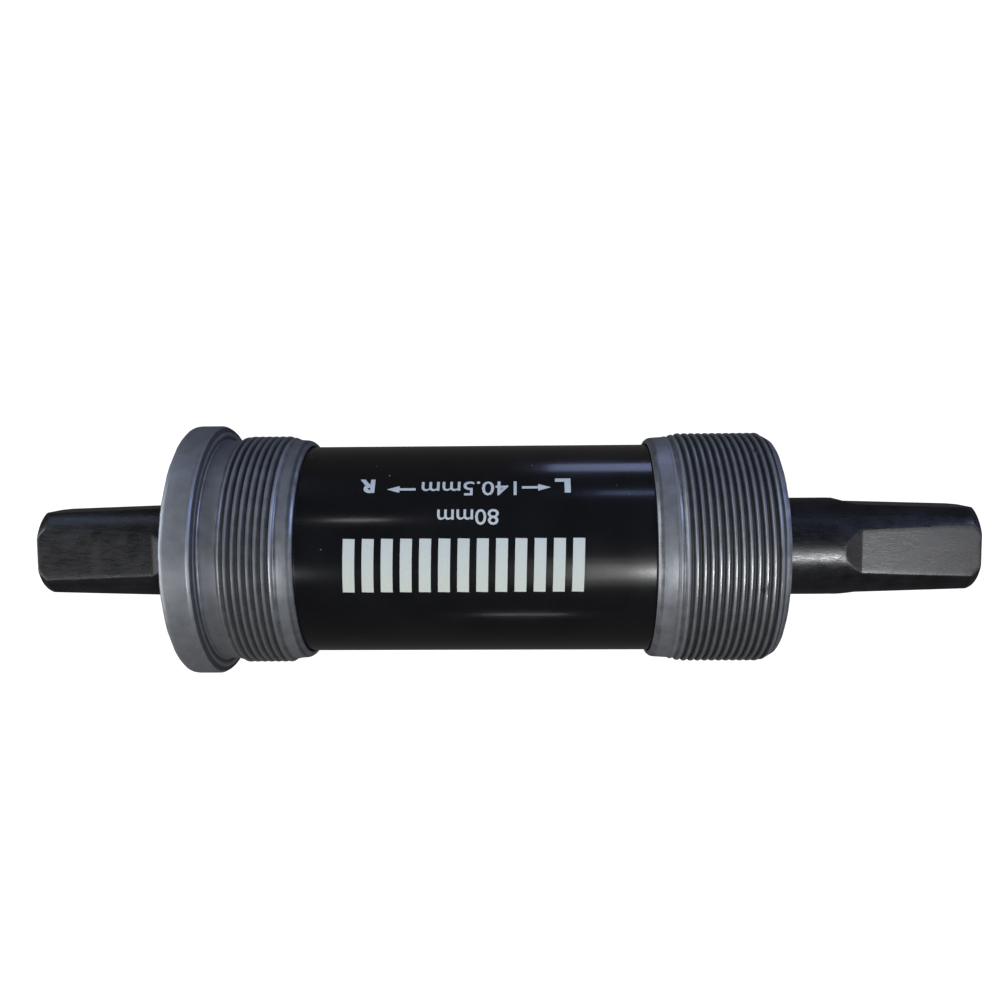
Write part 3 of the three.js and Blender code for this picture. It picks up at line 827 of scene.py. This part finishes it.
def cup(context, name, corners, body, node, run, **thread_settings):
    """Makes a cup from its open outline, which starts and stops at the thread's ends, and the thread."""
    c = sizes(context, "bracket_cup")
    angles = spline_columns(c.splines)
    grooves = spline_depth(angles, c.splines, c.spline_root - c.spline_tip)
    outline = softened(corners, closed=False)
    # Plain turned stretches get at least the steady lift, which is partly painted light on the neck. Rows
    # with painted shade keep their negative value.
    plain_row = (outline[:, 0] > c.neck - 0.05) & (outline[:, 3] >= 0)
    outline[:, 3] = np.where(plain_row, np.maximum(outline[:, 3], PLAIN_WEAR_AND_LIGHT), outline[:, 3])
    shape = {"pitch": c.pitch, "root": c.root, "depth": c.thread - c.root}
    thread = threaded(angles, *run, **shape, **thread_settings)
    mesh = mesh_of(name, [turned(outline, angles, grooves), thread])
    piece(name, mesh, body, "cup_grey_steel", finish(context, "Satin cup steel"), node)


class BracketDriveCup(bpy.types.Operator):
    """Make the drive cup: a flange, a short left-hand thread, a splined socket and a wiper groove"""
    bl_idname = "bracket.drive_cup"
    bl_label = "Drive cup"

    def execute(self, context):
        c = sizes(context, "bracket_cup")
        face, mouth = span("drive_cup")
        flange = span("drive_cup", 0)[1]
        seat = face + c.flange
        run = (seat + 2.5, mouth - 2.0)
        # Corners are (radius, y, splined, wear, rounding). The negative values on the edge of the mouth and
        # in the fillet behind the flange are painted shade, which the cup finish darkens.
        corners = [
            (c.land, run[1]), (c.land - 0.12, mouth - 0.5, 0, -0.6, 0.4),
            (c.mouth, mouth, 0, 0.2, 0.12), (c.bore, mouth, 0, 0.3, 0.08),
            *socket_corners(c, face, -1)[::-1],
            (flange, face, 0, 0.7, 0.8), (flange, seat - 0.7, 0, 0.1, 0.1),
            (flange - 0.4, seat, 0, -1.2, 0.7), (c.neck + 0.25, seat, 0, -0.8, 1.4),
            (c.neck, seat + 0.25, 0, -0.3, 0.2), (c.neck, run[0]),
        ]
        # Painted shade in the thread's groove bottoms, a little weaker than on the left cup.
        thread = {"run": run, "hand": -1, "ends": (c.neck, c.land), "fades": (1.0, 1.2), "groove_shade": 0.7}
        cup(context, "drive_cup_body", corners, "cartridge", "drive_cup", **thread)
        return {"FINISHED"}


class BracketLeftCup(bpy.types.Operator):
    """Make the left cup: a long right-hand thread, a plain land, a splined socket and a wiper groove"""
    bl_idname = "bracket.left_cup"
    bl_label = "Left cup"

    def execute(self, context):
        c = sizes(context, "bracket_cup")
        mouth, face = span("left_cup")
        run = (mouth + 2.5, face - 0.765)
        corners = [
            (c.root, run[1]), (c.thread - 1.0, face, 0, 0.8, 0.2),
            *socket_corners(c, face, 1),
            (c.bore, mouth, 0, 0.3, 0.08), (c.mouth, mouth, 0, 0.8, 0.12),
            (c.land - 0.12, mouth + 0.5, 0, 0, 0.4), (c.land, run[0]),
        ]
        limit = ([face - 1.7, run[1]], [c.thread, c.root])
        nicks = [
            (face - 3.74, math.radians(-53), 0.42, 0.45), (face - 3.82, math.radians(21), 0.36, 0.40),
            (face - 9.1, math.radians(-70), 0.3, 0.2), (face - 6.2, math.radians(150), 0.4, 0.35),
        ]
        thread = {"run": run, "hand": 1, "ends": (c.land, c.root), "fades": (2.3, 0.02)}
        cup(context, "left_cup_body", corners, "left_cup", "left_cup", limit=limit, nicks=nicks, **thread)
        return {"FINISHED"}


def ring(name, corners, body, slot, finish, node, columns=160):
    """Puts a closed ring, made from an outline of corners, in the scene as a piece."""
    mesh = mesh_of(name, [turned(softened(corners), even_columns(columns))])
    piece(name, mesh, body, slot, finish, node)


class BracketSleeve(bpy.types.Operator):
    """Make the sleeve: a thin gloss black tube with softened ends that runs from cup to cup"""
    bl_idname = "bracket.sleeve"
    bl_label = "Sleeve"

    def execute(self, context):
        low, high = span("cartridge_sleeve")
        outside = span("cartridge_sleeve", 2)[1]
        inside = outside - sizes(context, "bracket_sleeve").wall
        outline = ((inside, low), (outside, low), (outside, high), (inside, high))
        corners = [(r, y, 0, 0.4, 0.15) for r, y in outline]
        paint = finish(context, "Gloss black paint")
        ring("sleeve_tube", corners, "cartridge", "sleeve_black", paint, "cartridge_sleeve", 256)
        return {"FINISHED"}


# ---- printed marking
def wrapped(flat, y, arc, radius, ink):
    """Flat print (right, up, height) laid on the sleeve: right runs towards -Y, up runs round towards +X."""
    turn = (arc + flat[:, 1]) / radius
    out = radius + np.where(flat[:, 2] > 0, ink, -0.02)
    return around(out, y - flat[:, 0], turn)


def lettering(text, size, weight):
    """Closed flat mesh of a line of plain lettering with its lower left corner at the origin, in millimetres.

    The letters are cut into strips, so that they can follow the sleeve's curve.
    """
    strip = 0.35
    curve = bpy.data.curves.new("marking", "FONT")
    curve.body, curve.size, curve.offset, curve.extrude, curve.resolution_u = text, size, weight, 0.01, 3
    holder = bpy.data.objects.new("marking", curve)
    bpy.context.scene.collection.objects.link(holder)
    bpy.context.view_layer.update()
    mesh = bpy.data.meshes.new_from_object(holder.evaluated_get(bpy.context.evaluated_depsgraph_get()))
    bpy.data.objects.remove(holder)
    bpy.data.curves.remove(curve)
    work = bmesh.new()
    work.from_mesh(mesh)
    bmesh.ops.remove_doubles(work, verts=work.verts, dist=1e-5)
    for height in np.arange(-1.0, size + 1, strip):
        everything = [*work.verts, *work.edges, *work.faces]
        bmesh.ops.bisect_plane(work, geom=everything, plane_co=(0, height, 0), plane_no=(0, 1, 0))
    work.to_mesh(mesh)
    work.free()
    return mesh


def stroke_mesh(name, path, half, y, arc, radius, ink, steps=1):
    """Straight printed stroke through (right, up) points, with half its width at each, closed all round."""
    share = np.linspace(0, len(path) - 1, (len(path) - 1) * steps + 1)
    path, known = np.array(path, float), np.arange(len(path))
    path = np.stack([np.interp(share, known, path[:, i]) for i in (0, 1)], axis=1)
    half = np.interp(share, known, half)
    way = (path[-1] - path[0]) / np.linalg.norm(path[-1] - path[0])
    sides = np.array([-1, -1, 1, 1, -1])[None, :, None]
    flat = path[:, None, :] + sides * half[:, None, None] * np.array([-way[1], way[0]])
    height = np.array([-1, 1, 1, -1, -1])[None, :, None] + 0 * flat[..., :1]
    points = np.concatenate((flat, height), axis=2)
    grid = wrapped(points.reshape(-1, 3), y, arc, radius, ink).reshape(points.shape)
    first, last = (np.stack((grid[row][[0, 1]], grid[row][[3, 2]])) for row in (0, -1))
    return mesh_of(name, [(grid[::-1], 0.0), (first, 0.0), (last[::-1], 0.0)])


class BracketPrint(bpy.types.Operator):
    """Print the sleeve: side letters, the two widths in millimetres with their arrows and a panel of bars"""
    bl_idname = "bracket.printing"
    bl_label = "Printed marking"

    def execute(self, context):
        p = sizes(context, "bracket_sleeve")
        radius = span("cartridge_sleeve", 2)[1]
        ink = finish(context, "Pale print ink")

        def printed(mesh):
            piece(mesh.name, mesh, "cartridge", "sleeve_black", ink)

        lines = [
            ("side_letter_left", "L", 3.2, 0.16, 12.3, -10.35, 1.36),
            ("side_letter_drive", "R", 3.1, 0.14, -15.55, -10.4, 1.06),
            ("spindle_width_mark", "140.5mm", 3.42, 0.02, 4.65, -10.0, 1.125),
            ("shell_width_mark", "80mm", 3.25, 0.02, 2.15, -5.42, 1.08),
        ]
        for name, text, size, weight, y, arc, stretch in lines:
            mesh = lettering(text, size, weight)
            mesh.name = name
            flat = np.empty(len(mesh.vertices) * 3)
            mesh.vertices.foreach_get("co", flat)
            flat = flat.reshape(-1, 3)
            flat[:, 0] = (flat[:, 0] - flat[:, 0].min()) * stretch
            mesh.vertices.foreach_set("co", (wrapped(flat, y, arc, radius, p.ink) / 1000).ravel())
            mesh.update()
            printed(mesh)
        head_start, barb, shaft_half, head_half, tip_half = 1.6, 1.75, 0.2, 0.58, 0.02
        halves = [shaft_half, shaft_half, head_half, tip_half]
        for name, tail, tip, arc in (("arrow_left", 5.4, 9.45, -8.93), ("arrow_drive", -9.7, -13.75, -8.72)):
            way, reach = (1 if tip > tail else -1), abs(tip - tail)
            path = [(-way * along, 0) for along in (0, reach - head_start, reach - barb, reach)]
            printed(stroke_mesh(name, path, halves, tail, arc, radius, p.ink))
        start, base, width, high, lean = 14.05, -1.25, 34.8, 7.65, 0.1
        step = width / p.bars
        half = 0.31 * step
        for index in range(p.bars):
            middle = index * step + half
            path = [(middle - lean, 0), (middle + lean, high)]
            name = f"print_bar_{index + 1:02d}"
            printed(stroke_mesh(name, path, [half, half], start, base, radius, p.ink, 24))
        return {"FINISHED"}


# ---- bearings
def arc_points(r, y, radius, start, stop, steps=14):
    """Outline points on a circular arc, with angles in degrees from the direction away from the axis."""
    turn = np.radians(np.linspace(start, stop, steps))
    return [(r + radius * c, y + radius * s) for c, s in zip(np.cos(turn), np.sin(turn))]


class BracketRaces(bpy.types.Operator):
    """Make both races of each bearing, with a round groove for the balls and steps for the seals"""
    bl_idname = "bracket.races"
    bl_label = "Bearing races"

    def execute(self, context):
        b = sizes(context, "bracket_bearing")
        steel = finish(context, "Ground race steel")
        bore, step = sizes(context, "bracket_spindle").journal + 0.05, 0.75
        for side in SIDES:
            low, high = span(f"{side}_inner_race")
            mid = (low + high) / 2
            half = math.degrees(math.acos((b.circle - b.inner_land) / b.groove))
            inner = [
                (bore, low, 0, 0.3, 0.3), (b.inner_land, low, 0, 0.3, 0.15),
                *arc_points(b.circle, mid, b.groove, 180 + half, 180 - half),
                (b.inner_land, high, 0, 0.3, 0.15), (bore, high, 0, 0.3, 0.3),
            ]
            half = math.degrees(math.acos((b.outer_land - b.circle) / b.groove))
            outer = [
                (b.outside, low, 0, 0.3, 0.35), (b.outside, high, 0, 0.3, 0.35),
                (b.seal_step, high, 0, 0.2, 0.1), (b.seal_step, high - step, 0, 0, 0.05),
                (b.outer_land, high - step, 0, 0, 0.05), *arc_points(b.circle, mid, b.groove, half, -half),
                (b.outer_land, low + step, 0, 0, 0.05), (b.seal_step, low + step, 0, 0, 0.05),
                (b.seal_step, low, 0, 0.2, 0.1),
            ]
            for kind, corners, body in (("inner", inner, "spindle"), ("outer", outer, "cartridge")):
                ring(f"{side}_{kind}_ring", corners, body, "bearing_steel", steel, f"{side}_{kind}_race")
        return {"FINISHED"}


def ball_grid(radius, centre):
    """Sphere: a half circle from pole to pole carried round an axis parallel to Y through its centre."""
    rise = np.linspace(-np.pi / 2, np.pi / 2, 17)[:, None]
    grid = around(radius * np.cos(rise), radius * np.sin(rise), even_columns(28)[None, :])
    return grid + centre, 0.0


def cage_grid(b, mid, face):
    """One half of a pressed cage: a flat ribbon whose height follows the balls.

    The height is sqrt(pocket^2 - d^2) where d, the distance along the pitch circle to the nearest ball's
    centre, is inside the pocket, and a small flat elsewhere. The ribbon has cups and lands by turns.
    """
    sheet, half_width, blend, clearance = 0.3, 0.65, 0.06, 0.12
    columns = even_columns(b.balls * 24)
    nearest = np.remainder(columns * b.balls / FULL_TURN + 0.5, 1) - 0.5
    apart = nearest * FULL_TURN / b.balls * b.circle
    rise = np.sqrt(np.maximum((b.ball + clearance + sheet / 2) ** 2 - apart**2, 0))
    height = 0.03 + sheet / 2 + np.logaddexp(0, (rise - sheet / 2) / blend) * blend
    radius = b.circle + np.array([-1, 1, 1, -1, -1])[:, None] * half_width
    side = np.array([-1, -1, 1, 1, -1])[:, None] * sheet / 2
    return around(radius, mid + face * height[None, :] + side, columns[None, :]), 0.0


class BracketBallTrains(bpy.types.Operator):
    """Make the balls of each bearing and the two pressed ribbons with their rivets that hold them apart"""
    bl_idname = "bracket.ball_trains"
    bl_label = "Balls and cages"

    def execute(self, context):
        b = sizes(context, "bracket_bearing")
        chrome, sheet = finish(context, "Polished ball steel"), finish(context, "Pressed cage steel")
        shank, half = 0.42, 0.55
        side_line = [(shank, -half, 0, 0.3, 0.2), (shank, half, 0, 0.3, 0.2)]
        outline = softened([(0, -half, 0, 0, 0), *side_line, (0, half, 0, 0, 0)], closed=False)
        rivet, rubbed = turned(outline, even_columns(12))
        angles = np.arange(b.balls) * FULL_TURN / b.balls
        for side in SIDES:
            low, high = span(f"{side}_ball_cage")
            mid, body = (low + high) / 2, f"{side}_ball_train"
            for number, turn in enumerate(angles, 1):
                name = f"{side}_round_ball_{number:02d}"
                mesh = mesh_of(name, [ball_grid(b.ball, around(b.circle, mid, turn))])
                piece(name, mesh, body, "ball_chrome", chrome, f"{side}_ball_{number:02d}")
            grids = [cage_grid(b, mid, 1), cage_grid(b, mid, -1)]
            for turn in angles + FULL_TURN / b.balls / 2:
                grids.append((rivet + around(b.circle, mid, turn), rubbed))
            name = f"{side}_ribbon_cage"
            piece(name, mesh_of(name, grids), body, "cage_steel", sheet, f"{side}_ball_cage")
        return {"FINISHED"}


class BracketSeals(bpy.types.Operator):
    """Make the rubber parts: a ribbed seal on each side of each bearing and a lipped wiper in each cup"""
    bl_idname = "bracket.seals"
    bl_label = "Seals"

    def execute(self, context):
        rubber = finish(context, "Seal rubber")
        ribs = [
            (10.42, -0.1), (10.55, 0.24), (11.0, 0.24), (11.15, 0.1), (11.9, 0.1), (12.0, 0.28), (12.3, 0.28),
            (12.4, 0.1), (13.2, 0.1), (13.3, 0.26), (13.8, 0.26), (13.85, 0.0), (13.8, -0.28), (10.6, -0.28),
        ]
        lip = [
            (7.62, 1.55), (7.9, 1.55), (8.15, 1.2), (8.4, 0.9), (9.4, 0.9), (9.6, 0.72), (11.2, 0.72),
            (11.4, 0.9), (12.26, 0.9), (12.26, 0.0), (8.0, 0.0), (7.62, 0.35),
        ]

        def seal(name, outline, base, facing, rounding, body, node):
            corners = [(r, base + facing * y, 0, 0, rounding) for r, y in outline][::-facing]
            ring(name, corners, body, "seal_rubber", rubber, node)

        for side, out in (("drive", -1), ("left", 1)):
            for place, facing in (("outer", out), ("inner", -out)):
                node = f"{side}_bearing_{place}_seal"
                middle = sum(span(node)) / 2
                seal(f"{node}_disc", ribs, middle, facing, 0.08, "cartridge", node)
            node = f"{side}_dust_seal"
            base = span(node)[0 if out > 0 else 1]
            body = "left_seal" if side == "left" else "cartridge"
            seal(f"{side}_wiper", lip, base, out, 0.12, body, node)
        return {"FINISHED"}


class BracketSprings(bpy.types.Operator):
    """Make the sprung steel parts: the retaining rings and the left bearing's wave washer"""
    bl_idname = "bracket.springs"
    bl_label = "Retaining rings and wave washer"

    def execute(self, context):
        steel = finish(context, "Blued spring steel")
        half_gap, lug_at, lug_circle = math.radians(17.0), math.radians(22.3), 9.85
        clip_bore, clip_outside, swell, ear = 8.06, 9.15, 0.55, 0.35
        for side in SIDES:
            low, high = span(f"{side}_circlip")
            turn = np.linspace(half_gap, FULL_TURN - half_gap, 121)[None, :]
            from_gap = np.minimum(turn, FULL_TURN - turn) - half_gap
            outside = clip_outside + swell * smooth(from_gap / 2.2) + ear * (1 - smooth(from_gap / 0.35))
            inside = clip_bore + 0 * turn
            section = [(inside, low), (outside, low), (outside, high), (inside, high), (inside, low)]
            grid = np.concatenate([around(r, y, turn) for r, y in section])
            first, last = (np.stack((grid[[0, 3], column], grid[[1, 2], column])) for column in (0, -1))
            grids = [(grid, 0.0), (first.transpose(1, 0, 2)[::-1], 0.0), (last.transpose(1, 0, 2), 0.0)]
            outline = ((0.6, low), (1.22, low), (1.22, high), (0.6, high))
            lug, rubbed = turned(softened([(r, y, 0, 0.3, 0.08) for r, y in outline]), even_columns(28))
            for way in (-1, 1):
                grids.append((lug + around(lug_circle, 0, way * lug_at), rubbed))
            name = f"{side}_retaining_ring"
            piece(name, mesh_of(name, grids), "spindle", "spring_steel", steel, f"{side}_circlip")
        middle, half, waves, height = sum(span("wave_washer")) / 2, 0.13, 3, 0.14
        section = ((13.2, -half), (14.85, -half), (14.85, half), (13.2, half))
        columns = even_columns(144)
        grid, rubbed = turned(softened([(r, y, 0, 0.3, 0.05) for r, y in section]), columns)
        grid[..., 1] += middle + height * np.sin(waves * columns)[None, :]
        washer = mesh_of("wave_spring", [(grid, rubbed)])
        piece("wave_spring", washer, "cartridge", "spring_steel", steel, "wave_washer")
        return {"FINISHED"}


class BracketSpacer(bpy.types.Operator):
    """Make the spacer tube that keeps the outer races apart inside the sleeve"""
    bl_idname = "bracket.spacer"
    bl_label = "Spacer tube"

    def execute(self, context):
        low, high = span("bearing_spacer_tube")
        bore, outside = 13.5, sizes(context, "bracket_bearing").outside
        outline = ((bore, low), (outside, low), (outside, high), (bore, high))
        corners = [(r, y, 0, 0.3, 0.25) for r, y in outline]
        steel = finish(context, "Drawn spacer steel")
        ring("spacer_pipe", corners, "cartridge", "spacer_steel", steel, "bearing_spacer_tube")
        return {"FINISHED"}


# ---- stage
def emission(tree, tint, strength):
    return add(tree, "ShaderNodeEmission", {"Color": (*tint, 1), "Strength": strength}).outputs[0]


def floor_finish(tint):
    """Pale floor that looks evenly lit; the object sees a dimmer floor than the camera does."""
    made, tree, _ = material("Pale floor")
    tree.nodes.clear()
    rays = add(tree, "ShaderNodeLightPath").outputs
    paint = add(tree, "ShaderNodeBsdfDiffuse", {"Color": (*tint, 1)}).outputs[0]
    seen = add(tree, "ShaderNodeMixShader", {0: 0.85, 1: paint, 2: emission(tree, tint, 1.35)}).outputs[0]
    glossy = emission(tree, (1.0, 0.95, 0.95), 0.07)
    soft = emission(tree, (0.96, 0.97, 1.0), 0.25)
    unseen = add(tree, "ShaderNodeMixShader", {0: rays["Is Diffuse Ray"], 1: glossy, 2: soft}).outputs[0]
    mix = add(tree, "ShaderNodeMixShader", {0: rays["Is Camera Ray"], 1: unseen, 2: seen})
    tree.links.new(mix.outputs[0], add(tree, "ShaderNodeOutputMaterial").inputs[0])
    return made


WARM, COOL, BLUE = (1.0, 0.99, 0.97), (0.97, 1.0, 1.0), (0.42, 0.56, 1.0)
LAMPS = {  # degrees towards +X and +Y, size, brightness, colour, distance
    "key_core": ((27, 20), (0.06, 0.17), 1.6, WARM, 0.5),
    "key_middle": ((27, 20), (0.15, 0.24), 1.3, WARM, 0.5),
    "key_outer": ((27, 20), (0.27, 0.32), 0.4, WARM, 0.5),
    "stub_glow": ((28, 21.8), (0.05, 0.07), 72.0, COOL, 0.5),
    "flat_glow": ((12.5, 28.5), (0.10, 0.08), 5.2, (0.97, 0.98, 1.0), 0.5),
    "key_drive": ((29, -28), (0.045, 0.05), 17.0, COOL, 0.5),
    "window": ((-60, 14), (0.045, 0.08), 2.4, BLUE, 0.5),
    "window_left": ((-45, 50), (0.20, 0.20), 5.5, (0.44, 0.56, 1.0), 0.5),
    "window_drive": ((-30, -15), (0.018, 0.05), 4.6, (0.95, 0.97, 1.0), 0.5),
    "low_blue": ((-91, 17), (0.020, 0.032), 2.6, (0.48, 0.58, 1.0), 0.10),
    "low_warm": ((77, 2), (0.012, 0.05), 2.6, (1.0, 0.95, 0.9), 0.35),
    "fill_left_cool": ((-38, 58), (0.28, 0.28), 0.9, (0.45, 0.60, 1.0), 0.5),
    "fill_left_warm": ((38, 58), (0.28, 0.28), 0.6, (1.0, 0.97, 0.94), 0.5),
    "fill_drive_cool": ((-42, -60), (0.28, 0.28), 3.0, (0.84, 0.92, 1.0), 0.5),
    "fill_drive_warm": ((44, -60), (0.28, 0.28), 3.0, (1.0, 0.98, 0.95), 0.5),
    "drive_end": ((-30, -88), (0.16, 0.16), 6.0, (0.66, 0.80, 1.0), 0.4),
    "drive_side": ((-75, -33), (0.12, 0.12), 1.2, (0.60, 0.72, 1.0), 0.4),
}


def lamp(name, towards, size, brightness, tint, distance):
    """Soft rectangular lamp at `towards` degrees from straight above, aimed at the object's middle.

    Brightness is that of the lamp's own surface, where 1 looks white; power is that times pi times area.
    """
    light = bpy.data.lights.new(name, "AREA")
    light.shape, light.size, light.size_y = "RECTANGLE", size[0], size[1]
    light.energy, light.color = brightness * math.pi * size[0] * size[1], tint
    made = bpy.data.objects.new(name, light)
    bpy.context.scene.collection.objects.link(made)
    lean_x, lean_y = (math.radians(a) for a in towards)
    flat = math.cos(lean_y)
    place = Vector((math.sin(lean_x) * flat, math.sin(lean_y), math.cos(lean_x) * flat)) * distance
    facing = -place.normalized()
    side = Vector((0, 1, 0)) - facing * facing.y
    side.normalize()
    turn = Matrix((facing.cross(side) * -1, side, -facing)).transposed()
    made.matrix_world = Matrix.Translation(place) @ turn.to_4x4()
    made.visible_camera = False


class BracketStage(bpy.types.Operator):
    """Set up the camera above the object, a plain pale floor under it, soft lamps and a quiet surround"""
    bl_idname = "bracket.stage"
    bl_label = "Stage"

    def execute(self, context):
        s = context.scene.bracket_stage
        scene = context.scene
        camera = bpy.data.objects.new("camera", bpy.data.cameras.new("camera"))
        scene.collection.objects.link(camera)
        camera.data.lens, camera.data.sensor_width = s.lens, 36
        camera.data.clip_start, camera.data.clip_end = 0.005, 20
        yaw, pitch = Matrix.Rotation(s.yaw, 3, "Y"), Matrix.Rotation(s.pitch, 3, "X")
        turns = yaw @ pitch @ Matrix.Rotation(s.roll, 3, "Z")
        laid = Matrix(((0, -1, 0), (1, 0, 0), (0, 0, 1)))
        camera.matrix_world = Matrix.Translation((0, s.aside, s.distance)) @ (laid @ turns).to_4x4()
        scene.camera = camera

        low, reach = CAD_BOX[0][2], 3.0
        mesh = bpy.data.meshes.new("floor")
        corners = [(x * reach, y * reach, low) for x, y in ((-1, -1), (1, -1), (1, 1), (-1, 1))]
        mesh.from_pydata(corners, [], [(0, 1, 2, 3)])
        floor = bpy.data.objects.new("floor", mesh)
        scene.collection.objects.link(floor)
        mesh.materials.append(floor_finish(scene.bracket_colours.floor))

        for name, (towards, size, brightness, tint, distance) in LAMPS.items():
            lamp(name, towards, size, brightness * s.light, tint, distance)

        world = scene.world or bpy.data.worlds.new("surround")
        scene.world = world
        world.use_nodes = True
        tree = world.node_tree
        tree.nodes.clear()
        rays = add(tree, "ShaderNodeLightPath").outputs
        seen = add(tree, "ShaderNodeBackground", {"Color": (1, 1, 1, 1), "Strength": 1.0}).outputs[0]
        dim = {"Color": (0.62, 0.66, 0.80, 1), "Strength": 0.10}
        unseen = add(tree, "ShaderNodeBackground", dim).outputs[0]
        mix = add(tree, "ShaderNodeMixShader", {0: rays["Is Camera Ray"], 1: unseen, 2: seen})
        tree.links.new(mix.outputs[0], add(tree, "ShaderNodeOutputWorld").inputs[0])
        scene.view_settings.view_transform = "Standard"
        return {"FINISHED"}


# ---- panel and main
OPERATORS = (
    BracketStage, BracketSpindle, BracketSleeve, BracketPrint, BracketDriveCup, BracketLeftCup,
    BracketRaces, BracketBallTrains, BracketSeals, BracketSprings, BracketSpacer,
)


class BracketPanel(bpy.types.Panel):
    """Lists the steps that build the bottom bracket, and its main settings"""
    bl_idname = "VIEW3D_PT_bracket"
    bl_label = "Bottom bracket"
    bl_space_type = "VIEW_3D"
    bl_region_type = "UI"
    bl_category = "Bottom bracket"

    def draw(self, context):
        for operator in OPERATORS:
            self.layout.operator(operator.bl_idname)
        for name in PRESETS:
            settings = getattr(context.scene, name)
            box = self.layout.box()
            for label in settings.__annotations__:
                box.prop(settings, label)


def register():
    for settings in (*PRESETS.values(), *OPERATORS, BracketPanel):
        bpy.utils.register_class(settings)
    for name, settings in PRESETS.items():
        setattr(bpy.types.Scene, name, PointerProperty(type=settings))


def unregister():
    for name in PRESETS:
        delattr(bpy.types.Scene, name)
    for settings in reversed((*PRESETS.values(), *OPERATORS, BracketPanel)):
        bpy.utils.unregister_class(settings)


def main():
    register()
    for operator in OPERATORS:
        family, action = operator.bl_idname.split(".")
        getattr(getattr(bpy.ops, family), action)()


if __name__ == "__main__":
    main()
